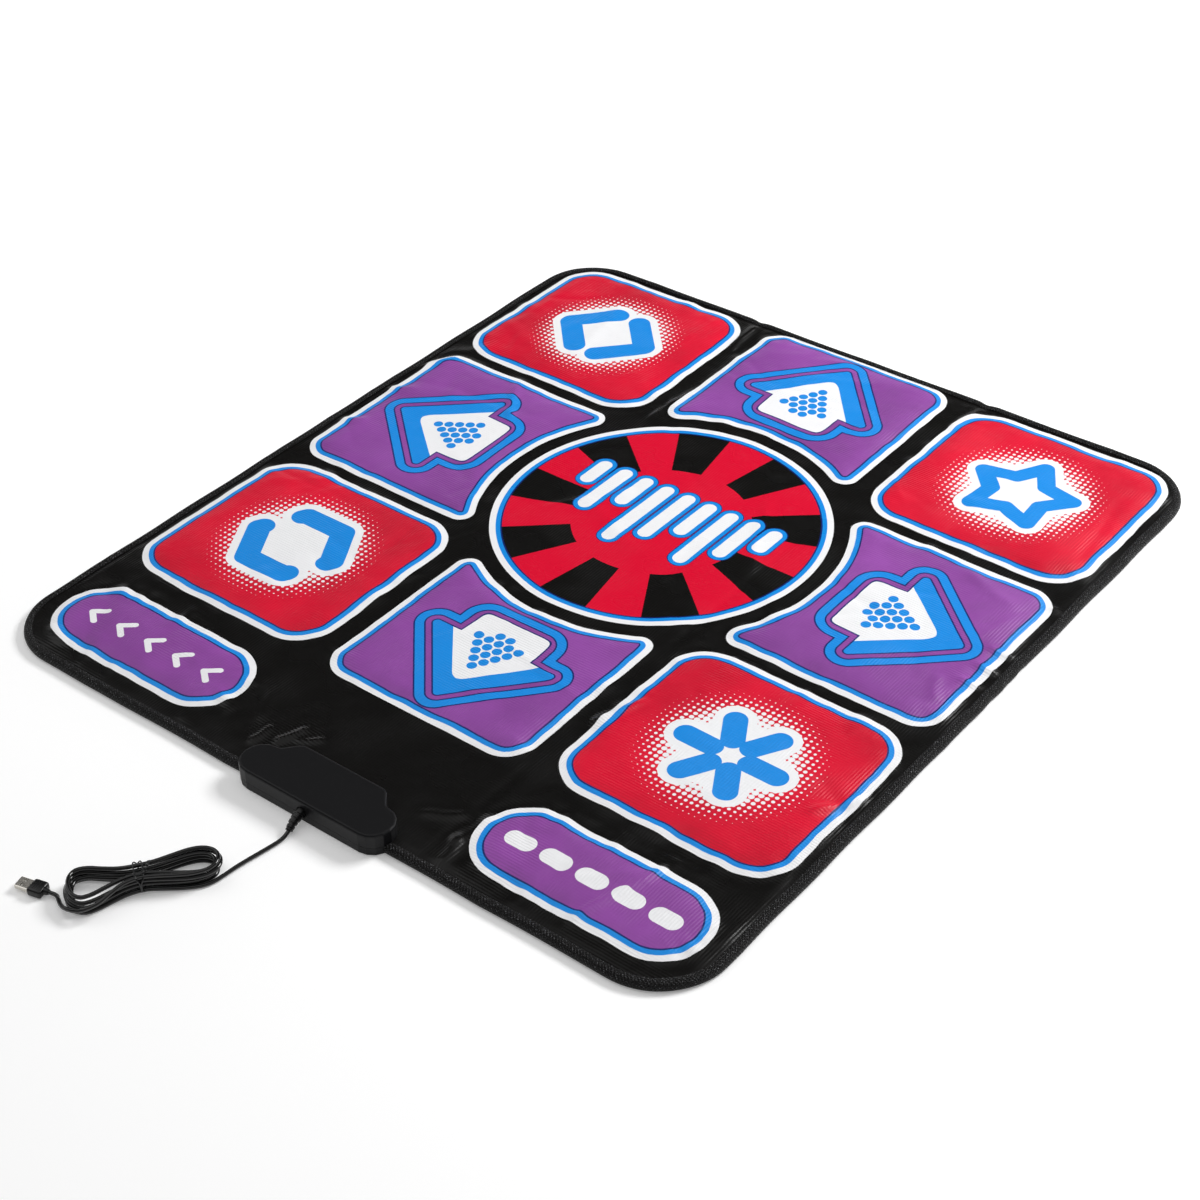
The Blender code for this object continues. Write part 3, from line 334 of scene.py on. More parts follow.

# %% [markdown]
# The cloths are cut from a fine grid, as a seamstress cuts cloth from a bolt: the grid gives the
# puckers something to bend, and a Boolean with the pattern piece gives the clean edge. Each cloth
# runs from the middle of the mat over one crease to the side, with extra lines at the crease.

# %% Cutting cloth
def object_from(name, bm):
    """Turns a bmesh into an object that shows."""
    bmesh.ops.recalc_face_normals(bm, faces=bm.faces)
    mesh = bpy.data.meshes.new(name)
    bm.to_mesh(mesh)
    bm.free()
    made = bpy.data.objects.new(name, mesh)
    bpy.context.scene.collection.objects.link(made)
    return made


def raise_faces(bm, faces, height):
    """Extrudes faces upwards and keeps the old ones, which closes the body."""
    grown = bmesh.ops.extrude_face_region(bm, geom=faces, use_keep_orig=True)
    upper = [v for v in grown["geom"] if isinstance(v, bmesh.types.BMVert)]
    bmesh.ops.translate(bm, vec=(0, 0, height), verts=upper)


def bolt_of_cloth(name, low, high, spacing, folds=()):
    """A thin closed slab of small squares, with extra lines where it will bend."""
    size = Vector(high) - Vector(low)
    middle = (Vector(high) + Vector(low)) / 2
    bm = bmesh.new()
    bmesh.ops.create_grid(
        bm, x_segments=round(size.x / spacing), y_segments=round(size.y / spacing), size=0.5,
        matrix=Matrix.Translation((*middle, 0)) @ Matrix.Diagonal((size.x, size.y, 1, 1)),
    )
    for x in folds:
        everything = bm.verts[:] + bm.edges[:] + bm.faces[:]
        bmesh.ops.bisect_plane(bm, geom=everything, plane_co=(x, 0, 0), plane_no=(1, 0, 0))
    raise_faces(bm, bm.faces[:], 1)
    return object_from(name, bm)


def pattern_piece(rings):
    """Upright blocks with the given outlines, to cut cloth with."""
    bm = bmesh.new()
    for ring in rings:
        face = bm.faces.new([bm.verts.new((x, y, -1)) for x, y in ring])
        face.normal_update()
        raise_faces(bm, [face], 3)
    return object_from("pattern", bm)


def cut(cloth, pattern, operation):
    """Cuts a cloth with a pattern piece, and puts the pattern away."""
    change = cloth.modifiers.new("cut", "BOOLEAN")
    change.object = pattern
    change.operation = operation
    change.solver = "EXACT"
    bpy.context.view_layer.update()
    result = cloth.evaluated_get(bpy.context.evaluated_depsgraph_get())
    made = bpy.data.meshes.new_from_object(result)
    cloth.modifiers.clear()
    cloth.data = made
    bpy.data.objects.remove(pattern)


def lay(cloth, height, thick):
    """Lays a flat cloth on a height, and keeps where each spot was in a UV map."""
    mesh = cloth.data
    co = np.empty(len(mesh.vertices) * 3, np.float32)
    mesh.vertices.foreach_get("co", co)
    co = co.reshape(-1, 3).astype(float)
    upper = co[:, 2] > 0.5
    z = height(co[:, 0], co[:, 1])
    co[:, 2] = np.where(upper, z, z - thick)
    mesh.vertices.foreach_set("co", co.astype(np.float32).ravel())
    corner = np.empty(len(mesh.loops), np.int32)
    mesh.loops.foreach_get("vertex_index", corner)
    chart = mesh.uv_layers.new(name="chart")
    chart.data.foreach_set("uv", (co[corner, :2] + 0.5).astype(np.float32).ravel())
    mesh.update()
    mesh.shade_smooth()
    mesh.set_sharp_from_angle(angle=math.radians(50))
    return co


def mat_outline(inset):
    """The outline of the whole mat, moved in."""
    radius = CORNER - inset
    half_y = (FAR - NEAR) / 2 - inset
    return soft_rectangle(0, (FAR + NEAR) / 2, HALF_WIDTH - inset, half_y, radius)


def half_outline(inset, side):
    """The part of the mat's outline that lies on one side of its middle line."""
    spots = [s for s in mat_outline(inset) if s[0] * side > 0]
    spots.sort(key=lambda s: math.atan2(s[1], s[0] * side))
    low = (0.0, NEAR + inset)
    high = (0.0, FAR - inset)
    return [low, *spots, high]


# One line in each millimetre that bends.
FOLD_LINES = [CREASE + step / 1000 for step in range(-9, 10)]


def bend_over_crease(piece):
    """Bakes a soft piece's placing into its mesh."""
    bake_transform(piece)


print("extra lines over each crease:", len(FOLD_LINES))

# %% [markdown]
# The control box reaches into the cloth, so the cloth has a notch of the box's outline. The box is
# a bar with round ends and a hump, the same eight corners as in the solids.

# %% Outline of the control box
BOX_CORNERS = (
    ((-BOX_HALF, 0), BOX_END_RADIUS), ((BOX_HALF, 0), BOX_END_RADIUS),
    ((BOX_HALF, 0.041), BOX_END_RADIUS), ((0.064, 0.041), 0.006),
    ((0.050, 0.057), 0.012), ((-0.050, 0.057), 0.012),
    ((-0.064, 0.041), 0.006), ((-BOX_HALF, 0.041), BOX_END_RADIUS),
)


def box_ring(steps=8):
    """The control box in plan, its corners turned into arcs."""
    spots = []
    count = len(BOX_CORNERS)
    for i, (corner, radius) in enumerate(BOX_CORNERS):
        here = Vector(corner)
        into = (here - Vector(BOX_CORNERS[i - 1][0])).normalized()
        out = (Vector(BOX_CORNERS[(i + 1) % count][0]) - here).normalized()
        turn = math.atan2(into.x * out.y - into.y * out.x, into.dot(out))
        reach = abs(math.tan(turn / 2)) * radius
        side = Vector((-into.y, into.x)) * math.copysign(radius, turn)
        start = math.degrees(math.atan2(-side.y, -side.x))
        spots += arc(here - into * reach + side, radius, start, start + math.degrees(turn), steps)
    return [(BOX_X + x, BOX_FRONT + y) for x, y in spots]


BOX_RING = box_ring()
print("box outline points:", len(BOX_RING))

# %% [markdown]
# Colours are written as sRGB, the way a print shop names them, and turned to linear here. One
# function adds a node and wires it. It is used for every material.

# %% Colour and nodes
def ink(code):
    """A linear colour from an sRGB hex code."""
    parts = [int(code[i : i + 2], 16) / 255 for i in (1, 3, 5)]
    return (*[p / 12.92 if p <= 0.04045 else ((p + 0.055) / 1.055) ** 2.4 for p in parts], 1.0)


def wire(tree, kind, *values, **settings):
    """Adds a node, sets it, wires or sets its inputs in order, and gives its first output."""
    made = tree.nodes.new("ShaderNode" + kind)
    for key, value in settings.items():
        setattr(made, key, value)
    sockets = [socket for socket in made.inputs if socket.enabled]
    for socket, value in zip(sockets, values):
        if isinstance(value, bpy.types.NodeSocket):
            tree.links.new(value, socket)
        elif value is not None:
            socket.default_value = value
    return next(socket for socket in made.outputs if socket.enabled)


def turned(tree, spot, centre, degrees):
    """A spot seen from a centre, turned about it."""
    spot = wire(tree, "VectorMath", spot, (*centre, 0), operation="SUBTRACT")
    angle = math.radians(degrees)
    return wire(tree, "VectorRotate", spot, (0, 0, 0), angle, rotation_type="Z_AXIS")


def new_finish(name, colour, roughness, **sockets):
    """A material with its plain values on the shader's own sockets."""
    made = bpy.data.materials.new(name)
    made.use_nodes = True
    shader = made.node_tree.nodes["Principled BSDF"]
    shader.inputs["Base Color"].default_value = ink(colour)
    shader.inputs["Roughness"].default_value = roughness
    for key, value in sockets.items():
        shader.inputs[key.replace("_", " ")].default_value = value
    return made, made.node_tree, shader


def dress(piece, finish):
    """Gives a piece one material."""
    piece.data.materials.clear()
    piece.data.materials.append(finish)


# %% [markdown]
# A printed shape is a distance: below zero inside it, above zero outside. A rounded bar, a disc
# and a plate with straight sides are enough to draw every motif of the mat, and the same distance
# gives a shape its outline. The motifs are plain ones: arrows, a star, a hexagon, a diamond, a
# burst, bars and rays.

# %% Shapes that ink can take
def bar(tree, spot, start, end, half):
    """Distance from a rounded bar."""
    along = (end[0] - start[0], end[1] - start[1], 0)
    away = wire(tree, "VectorMath", spot, (*start, 0), operation="SUBTRACT")
    share = wire(tree, "VectorMath", away, along, operation="DOT_PRODUCT")
    size = along[0] ** 2 + along[1] ** 2
    share = wire(tree, "Math", share, 1 / size, operation="MULTIPLY", use_clamp=True)
    near = wire(tree, "VectorMath", along, share, operation="SCALE")
    away = wire(tree, "VectorMath", away, near, operation="DISTANCE")
    return wire(tree, "Math", away, half, operation="SUBTRACT")


def spot_disc(tree, spot, centre, radius):
    """Distance from a disc."""
    away = wire(tree, "VectorMath", spot, (*centre, 0), operation="DISTANCE")
    return wire(tree, "Math", away, radius, operation="SUBTRACT")


def plate(tree, spot, corners, rounding):
    """Distance from a convex shape with straight sides, given counterclockwise."""
    sides = []
    for p, q in zip(corners, corners[1:] + corners[:1]):
        run = Vector((q[0] - p[0], q[1] - p[1])).normalized()
        out = (run.y, -run.x, 0)
        side = wire(tree, "VectorMath", spot, out, operation="DOT_PRODUCT")
        sides.append(wire(tree, "Math", side, out[0] * p[0] + out[1] * p[1], operation="SUBTRACT"))
    return joined(tree, sides, "SMOOTH_MAX", rounding)


def joined(tree, distances, operation="MINIMUM", rounding=0.0):
    """One distance from several."""
    whole = distances[0]
    for distance in distances[1:]:
        whole = wire(tree, "Math", whole, distance, rounding, operation=operation)
    return whole


SOFT_EDGE = 0.00015


def printed(tree, under, colour, distance, grow=0.0):
    """Prints a colour, or another print, inside a shape and on what is under it."""
    over = ink(colour) if isinstance(colour, str) else colour
    mask = wire(tree, "MapRange", distance, grow - SOFT_EDGE, grow + SOFT_EDGE, 1.0, 0.0)
    return wire(tree, "Mix", mask, under, over, data_type="RGBA")


WHITE = "#EEEEF0"
BLUE = "#1589DE"
NAVY = "#10266A"
RED = "#D80C30"
PURPLE = "#8E499E"
BLACK = "#0B0A09"
RIM_INKS = ((NAVY, 0.0130), (BLUE, 0.0114), (WHITE, 0.0066))
print("inks:", WHITE, BLUE, NAVY, RED, PURPLE, BLACK)

# %% [markdown]
# Halftone is how a printer fades white into red: dots on a square grid that shrink outwards. Here
# the dots lie 6.2 mm apart. A dot's radius falls with the distance from the panel's middle.

# %% Motifs
def dot_grid(tree, spot, per_metre):
    """Distance from the nearest dot's middle, as a share of the dots' spacing."""
    cell = wire(tree, "VectorMath", spot, (per_metre, per_metre, 0), operation="MULTIPLY")
    cell = wire(tree, "VectorMath", cell, operation="FRACTION")
    return wire(tree, "VectorMath", cell, (0.5, 0.5, 0), operation="DISTANCE")


def halftone(tree, spot, inner, outer):
    """Distance from dots that shrink from an inner radius to an outer one."""
    dot = wire(tree, "Math", dot_grid(tree, spot, 161.3), 0.0062, operation="MULTIPLY")
    away = wire(tree, "VectorMath", spot, operation="LENGTH")
    size = wire(tree, "MapRange", away, inner, outer, 0.0040, 0.0004)
    size = wire(tree, "Math", size, 0.0006, operation="SUBTRACT")
    return wire(tree, "Math", dot, size, operation="SUBTRACT")


def around(count, radius, start=90.0):
    """Spots on a circle."""
    return arc((0, 0), radius, start, start + 360 * (count - 1) / count, count - 1)


def strokes(tree, spot, lines, half):
    """Distance from several bars of one thickness."""
    return joined(tree, [bar(tree, spot, start, end, half) for start, end in lines])


def star(tree, spot):
    tips = around(5, 0.054)
    dips = around(5, 0.030, 126)
    spots = [s for pair in zip(tips, dips) for s in pair]
    return strokes(tree, spot, zip(spots, spots[1:] + spots[:1]), 0.0095)


def hexagon(tree, spot):
    spots = [Vector(s) for s in around(6, 0.050, 60)]
    lines = []
    for i, (a, b) in enumerate(zip(spots, spots[1:] + spots[:1])):
        if i in (1, 4):
            middle = (a + b) / 2
            lines += [(a, a.lerp(middle, 0.15)), (b.lerp(middle, 0.15), b)]
        else:
            lines.append((a, b))
    return strokes(tree, spot, lines, 0.0125)


def diamond(tree, spot):
    signs = [(x, y) for x in (-1, 1) for y in (-1, 1)]
    lines = [((x * 0.015, y * 0.041), (x * 0.052, y * 0.001)) for x, y in signs]
    return strokes(tree, spot, lines, 0.0125)


def burst(tree, spot):
    return strokes(tree, spot, zip(around(6, 0.021, 0), around(6, 0.049, 0)), 0.0115)


def corner_art(tree, spot, under, motif):
    """A blue motif on a white glow that fades out in halftone."""
    shape = motif(tree, spot)
    under = printed(tree, under, WHITE, halftone(tree, spot, 0.052, 0.094))
    under = printed(tree, under, WHITE, spot_disc(tree, spot, (0, 0), 0.046))
    under = printed(tree, under, WHITE, shape, 0.0085)
    return printed(tree, under, BLUE, shape)


def arrow_art(tree, spot, under, motif=None):
    """An arrow towards the outer edge: an outline, a blue head and a white body with dots.

    Only its right half is drawn, on folded, and each plate runs past the middle line. The outline
    keeps 12.8 mm from the head and from bars inside the shaft.
    """
    side = wire(tree, "SeparateXYZ", spot)
    x = wire(tree, "Math", side, operation="ABSOLUTE")
    y = side.node.outputs["Y"]
    folded = wire(tree, "CombineXYZ", x, y)
    past = -0.02
    foot, barb, tip = -0.0257, (0.0692, -0.0215), (0, 0.0568)
    core = plate(tree, folded, [(past, barb[1]), barb, tip, (past, tip[1])], 0.001)
    sides = strokes(tree, folded, ((barb, tip), (barb, (0, barb[1]))), 0.0042)
    head = joined(tree, [core, sides])
    roof = [(past, -0.060), (0.0812, -0.060), (0.0040, 0.0322), (past, 0.0322)]
    above = wire(tree, "Math", foot, y, operation="SUBTRACT")
    inner = joined(tree, [plate(tree, folded, roof, 0.010), above], "MAXIMUM")
    shaft = [(past, -0.062), (0.0405, -0.062), (0.0450, 0.040), (past, 0.040)]
    below = wire(tree, "Math", y, foot + 0.002, operation="SUBTRACT")
    tail = joined(tree, [plate(tree, folded, shaft, 0.014), below], "MAXIMUM")
    whole = joined(tree, [head, tail])
    hip, heel = (0.0320, barb[1]), (0.0308, -0.0505)
    skirt = strokes(tree, folded, ((hip, heel), (heel, (0, heel[1]))), 0.0105)
    stroke = wire(tree, "Math", joined(tree, [sides, skirt]), 0.0128, operation="SUBTRACT")
    stroke = wire(tree, "Math", stroke, operation="ABSOLUTE")
    under = printed(tree, under, NAVY, stroke, 0.0060)
    under = printed(tree, under, BLUE, stroke, 0.0044)
    under = printed(tree, under, NAVY, whole, 0.0016)
    under = printed(tree, under, BLUE, whole)
    under = printed(tree, under, WHITE, joined(tree, [inner, tail]))
    dots = []
    for row, count in enumerate((1, 2, 3, 4, 5, 2)):
        for i in range((count + 1) // 2):
            place = (0.0122 * (i + (0 if count % 2 else 0.5)), 0.0085 - 0.0098 * row)
            dots.append(spot_disc(tree, folded, place, 0.0051))
    return printed(tree, under, BLUE, joined(tree, dots))


def pill_art(tree, spot, under, motif):
    """A row of white marks: chevrons or short bars."""
    places = [(i - 2) * 0.0385 for i in range(5)]
    if motif == "chevrons":
        lines = [((x + 0.006, end), (x - 0.006, 0)) for x in places for end in (0.0095, -0.0095)]
        marks = strokes(tree, spot, lines, 0.0032)
    else:
        marks = strokes(tree, spot, [((x - 0.0065, 0), (x + 0.0065, 0)) for x in places], 0.0092)
    return printed(tree, under, WHITE, marks)


# For each pad: the field, what draws on it, its motif, its middle where that isn't the panel's own,
# and its turn in degrees.
ARTS = {
    "arrow_pad_up": (PURPLE, arrow_art, None, (0, DISC_Y - 0.286), 180),
    "arrow_pad_down": (PURPLE, arrow_art, None, (0, DISC_Y + 0.286), 0),
    "arrow_pad_left": (PURPLE, arrow_art, None, (0.292, DISC_Y), -90),
    "arrow_pad_right": (PURPLE, arrow_art, None, (-0.292, DISC_Y), 90),
    "corner_pad_up_left": (RED, corner_art, burst, None, 0),
    "corner_pad_up_right": (RED, corner_art, hexagon, None, 0),
    "corner_pad_down_left": (RED, corner_art, star, None, 0),
    "corner_pad_down_right": (RED, corner_art, diamond, None, 0),
    "select_pad": (PURPLE, pill_art, "bars", None, 0),
    "start_pad": (PURPLE, pill_art, "chevrons", None, 0),
}
print("arts:", len(ARTS))

# %% [markdown]
# The pads are PVC-coated polyester, printed and then laminated. The coat gives a soft sheen, the
# yarn under it shows as faint ribs, and the contact lines inside press through as well. The ribs
# lie 3 mm apart here, coarser than the yarn, so that they show at all.

# %% Coated cloth
def cloth_bump(tree, chart, shader, strength, gloss):
    """Faint ribs both ways under the coat, small crinkles, and a gloss that varies."""
    crinkle = wire(tree, "TexNoise", chart, 45.0, 3.0, 0.55, noise_dimensions="3D")
    blotch = wire(tree, "TexNoise", chart, 11.0, 2.0, 0.5, noise_dimensions="3D")
    mixed = wire(tree, "Math", blotch, 1.2, crinkle, operation="MULTIPLY_ADD")
    for direction, low, high in (("X", 0.48, 0.60), ("Y", 0.52, 0.40)):
        ribs = wire(tree, "TexWave", chart, 105.0, 0.6, 1.0, 1.0, bands_direction=direction)
        patch = wire(tree, "MapRange", blotch, low, high, 0.03, 0.24)
        mixed = wire(tree, "Math", ribs, patch, mixed, operation="MULTIPLY_ADD")
    bump = wire(tree, "Bump", strength, 0.0016, None, mixed)
    tree.links.new(bump, shader.inputs["Normal"])
    rough = wire(tree, "MapRange", blotch, 0.3, 0.7, gloss - 0.06, gloss + 0.08)
    tree.links.new(rough, shader.inputs["Roughness"])


def pad_cloth(name):
    """The print of one pad: white rim, blue line, navy line, field and motif."""
    field, art, motif, centre, turn = ARTS[name]
    centre = centre or PANELS[name][1]
    made, tree, shader = new_finish("printed_cloth_" + name, field, 0.40, Specular_IOR_Level=0.25)
    chart = wire(tree, "UVMap", uv_map="chart")
    spot = turned(tree, chart, (0.5 + centre[0], 0.5 + centre[1]), -turn)
    tone = wire(tree, "TexNoise", chart, 8.0, 3.0, 0.6)
    tone = wire(tree, "MapRange", tone, 0.3, 0.7, 0.78, 1.10)
    under = wire(tree, "VectorMath", ink(field)[:3], tone, operation="SCALE")
    under = art(tree, spot, under, motif)
    rim = wire(tree, "Attribute", attribute_name="rim").node.outputs["Fac"]
    wander = wire(tree, "TexNoise", chart, 19.0, 2.0, 0.5)
    wander = wire(tree, "MapRange", wander, 0.3, 0.7, -0.0010, 0.0010)
    rim = wire(tree, "Math", rim, wander, operation="ADD")
    margin = 0.0012 if art is corner_art else 0.0005
    for colour, reach in (*RIM_INKS, (BLACK, 0.0)):
        under = printed(tree, under, colour, rim, margin + reach)
    tree.links.new(under, shader.inputs["Base Color"])
    cloth_bump(tree, chart, shader, 0.6, 0.40)
    return made


def make_pad(name):
    """One pad's cloth, cut out, laid on its foam and printed."""
    ring = RINGS[name]
    spots = np.array(ring)
    low = (spots.min(0) - 0.004).tolist()
    high = (spots.max(0) + 0.004).tolist()
    pad = bolt_of_cloth("cloth_of_" + name, low, high, 0.0028)
    cut(pad, pattern_piece([outline(name, -PAD_CLEARANCE)]), "INTERSECT")
    co = lay(pad, cloth_height, PAD_CLOTH)
    rim = nearest_on(ring, co[:, 0], co[:, 1])[0]
    mark = pad.data.attributes.new("rim", "FLOAT", "POINT")
    mark.data.foreach_set("value", rim.astype(np.float32))
    dress(pad, pad_cloth(name))
    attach(pad, name)
    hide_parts(name)
    return pad


for name in PANELS:
    pad = make_pad(name)
    print(pad.name, len(pad.data.polygons), "faces")

# %% [markdown]
# The black cloth is the same coated polyester, dyed black, so that light slides over its folds.
# The middle disc is printed straight on it and doesn't press. Its red field has black rays and a
# row of sound bars.

# %% Black cloth with the disc
BAR_SPACING = 0.0270
BAR_HEIGHTS = (0.0270, 0.0567, 0.0864, 0.0486, 0.0729, 0.0972, 0.0405, 0.0675, 0.0297)


def disc_art(tree, spot):
    """The disc's print, and how far inside the disc a spot is."""
    away = spot_disc(tree, spot, (0, 0), DISC_RADIUS)
    side = wire(tree, "SeparateXYZ", spot)
    y = side.node.outputs["Y"]
    turn = wire(tree, "Math", y, side, operation="ARCTAN2")
    rays = wire(tree, "Math", turn, 9.0, operation="MULTIPLY")
    rays = wire(tree, "Math", rays, operation="SINE")
    rays = wire(tree, "Math", rays, -0.01, operation="MULTIPLY")
    beyond = wire(tree, "Math", 0.092 - DISC_RADIUS, away, operation="SUBTRACT")
    rays = joined(tree, [rays, beyond], "MAXIMUM")
    under = printed(tree, ink(RED), BLACK, rays)
    foot = -0.046
    lines = []
    for i, height in enumerate(BAR_HEIGHTS):
        x = (i - 4) * BAR_SPACING
        lines.append(((x, foot), (x, foot + height)))
    bars = strokes(tree, spot, lines, 0.0078)
    for colour, grow in ((NAVY, 0.0056), (BLUE, 0.0046), (WHITE, 0.0)):
        under = printed(tree, under, colour, bars, grow)
    inside = wire(tree, "Math", away, -1.0, operation="MULTIPLY")
    for colour, reach in RIM_INKS:
        under = printed(tree, under, colour, inside, reach)
    return under, away


def black_cloth():
    """The black cloth, with the disc printed in its middle."""
    made, tree, shader = new_finish("black_coated_cloth", BLACK, 0.28, Specular_IOR_Level=0.2)
    chart = wire(tree, "UVMap", uv_map="chart")
    spot = turned(tree, chart, (0.5, 0.5 + DISC_Y), 180)
    art, away = disc_art(tree, spot)
    tree.links.new(printed(tree, ink(BLACK), art, away), shader.inputs["Base Color"])
    cloth_bump(tree, chart, shader, 0.4, 0.28)
    return made


def cloth_area(cloth):
    """Flat area of the cloth's upper face, in square metres."""
    return sum(p.area for p in cloth.data.polygons if p.normal.z > 0.3)


def make_half_cloth(cloth, side, inset, holes, height, thick):
    """Cuts one half of a cloth from its bolt and lays it on a height."""
    cut(cloth, pattern_piece([half_outline(inset, side)[::side]]), "INTERSECT")
    cut(cloth, pattern_piece(holes), "DIFFERENCE")
    lay(cloth, height, thick)


def hang_half_cloth(cloth, label, cover):
    """Hides the covers that a half cloth stands for, bakes its placing into its mesh and prints its
    size.
    """
    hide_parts(cover + "_" + label, cover + "_centre")
    bend_over_crease(cloth)
    print(cloth.name, len(cloth.data.polygons), "faces,", round(cloth_area(cloth), 3), "m2")


def half_bolt(name, side, spacing):
    """A bolt of cloth over one half of the mat, with extra lines at its crease."""
    low = (min(0, side * HALF_WIDTH), NEAR)
    high = (max(0, side * HALF_WIDTH), FAR)
    return bolt_of_cloth(name, low, high, spacing, [side * x for x in FOLD_LINES])


BLACK_CLOTH = black_cloth()
WINDOWS = [outline(name, GAP - PAD_CLEARANCE) for name in PANELS]
for side, label in SIDES:
    cloth = half_bolt("top_cloth_" + label, side, 0.0032)
    make_half_cloth(cloth, side, 0.0060, [*WINDOWS, BOX_RING], cloth_height, CLOTH)
    dress(cloth, BLACK_CLOTH)
    hang_half_cloth(cloth, label, "top_cover")

# %% [markdown]
# The underside is a heavier cloth with small grip dots, so that the mat doesn't creep while it is
# danced on. It is seen when a leaf is folded up. The dots are bump on a 4 mm grid.

# %% Bottom cloth
def grip_cloth():
    """A heavy dark cloth with raised dots."""
    made, tree, shader = new_finish("grip_cloth", "#35353A", 0.72)
    chart = wire(tree, "UVMap", uv_map="chart")
    dot = wire(tree, "MapRange", dot_grid(tree, chart, 250), 0.20, 0.30, 1.0, 0.0)
    weave = wire(tree, "TexNoise", chart, 400.0, 2.0, 0.5)
    both = wire(tree, "Math", weave, 0.25, dot, operation="MULTIPLY_ADD")
    tree.links.new(wire(tree, "Bump", 0.6, 0.0006, None, both), shader.inputs["Normal"])
    tone = wire(tree, "Mix", dot, ink("#35353A"), ink("#1E1E22"), data_type="RGBA")
    tree.links.new(tone, shader.inputs["Base Color"])
    return made


GRIP_CLOTH = grip_cloth()
GRIP_THICK = 0.0011


def floor_height(x, y):
    """Height of the heavy cloth's upper face, with its lower face on the floor."""
    return np.full(x.shape, GRIP_THICK)


for side, label in SIDES:
    cloth = half_bolt("bottom_cloth_" + label, side, 0.012)
    make_half_cloth(cloth, side, 0.0078, [BOX_RING], floor_height, GRIP_THICK)
    dress(cloth, GRIP_CLOTH)
    hang_half_cloth(cloth, label, "bottom_cover")

# %% [markdown]
# The edge is bound with woven tape, folded over both cloths and sewn through. Pulled round a
# corner it rolls, so its section is a rounded U. A section is swept along the edge by extruding it
# and turning it to the next spot, which keeps its width in the corners.

# %% Edge tape
TAPE_SECTION = (
    (0.0076, 0.0000), (0.0038, 0.0000), (0.0018, 0.0004), (0.0006, 0.0014), (0.0001, 0.0030),
    (0.0000, 0.0048), (0.0004, 0.0068), (0.0012, 0.0082), (0.0024, 0.0092), (0.0040, 0.0097),
    (0.0056, 0.0095), (0.0068, 0.0091), (0.0080, 0.0090), (0.0088, 0.0083),
    (0.0082, 0.0080), (0.0056, 0.0086), (0.0040, 0.0086), (0.0024, 0.0078), (0.0014, 0.0064),
    (0.0010, 0.0045), (0.0012, 0.0026), (0.0022, 0.0014), (0.0040, 0.0008), (0.0076, 0.0008),
)
BOX_SLIT = 0.0003


def edge_path(side):
    """Spots along the mat's edge, from the middle of the far edge round to the control box."""
    stop = BOX_X + side * (BOX_HALF + BOX_SLIT)
    flat = HALF_WIDTH - CORNER
    step = 0.004
    spots = [(x, FAR) for x in sorted([*np.arange(0, flat, step), *FOLD_LINES])]
    spots += arc((flat, FAR - CORNER), CORNER, 90, 0, 24)
    spots += [(HALF_WIDTH, y) for y in np.arange(FAR - CORNER - step, NEAR + CORNER, -step)]
    spots += arc((flat, NEAR + CORNER), CORNER, 0, -90, 24)
    last = [*np.arange(flat - step, stop * side, -step), *FOLD_LINES, stop * side]
    spots += [(x, NEAR) for x in sorted(last, reverse=True)]
    spots = [(side * x, y) for x, y in spots]
    kept = [spots[0]]
    for spot in spots[1:]:
        if math.dist(spot, kept[-1]) > 0.0005:
            kept.append(spot)
    return kept


def edge_wave(x, y):
    """How far the bound edge is pulled in: by a slow wave, by the creases and by three pinches."""
    inward = abs(0.0006 * math.sin(31 * x + 7 * y) + 0.0005 * math.sin(53 * y - 11 * x + 1))
    if y > FAR - 0.01:
        inward += sum(0.0026 * math.exp(-(((x - notch) / 0.007) ** 2)) for notch in (-0.144, 0.155))
    if x > HALF_WIDTH - 0.01:
        pinches = (0.032, 0.062, 0.088)
        inward += sum(0.0007 * math.exp(-(((y - pinch) / 0.006) ** 2)) for pinch in pinches)
    return inward


def edge_frames(path):
    """A placing matrix at each spot of the path: X points into the mat, Z up."""
    frames = []
    runs = [0.0]
    for i, spot in enumerate(path):
        before = Vector(path[max(i - 1, 0)])
        after = Vector(path[min(i + 1, len(path) - 1)])
        along = (after - before).normalized()
        into = Vector((along.y, -along.x))
        if into.dot(Vector(spot)) > 0:
            into = -into
        place = Vector(spot) + into * edge_wave(*spot)
        frames.append(Matrix((
            (into.x, -into.y, 0, place.x), (into.y, into.x, 0, place.y), (0, 0, 1, 0), (0, 0, 0, 1),
        )))
        if i:
            runs.append(runs[-1] + math.dist(path[i - 1], spot))
    return frames, runs


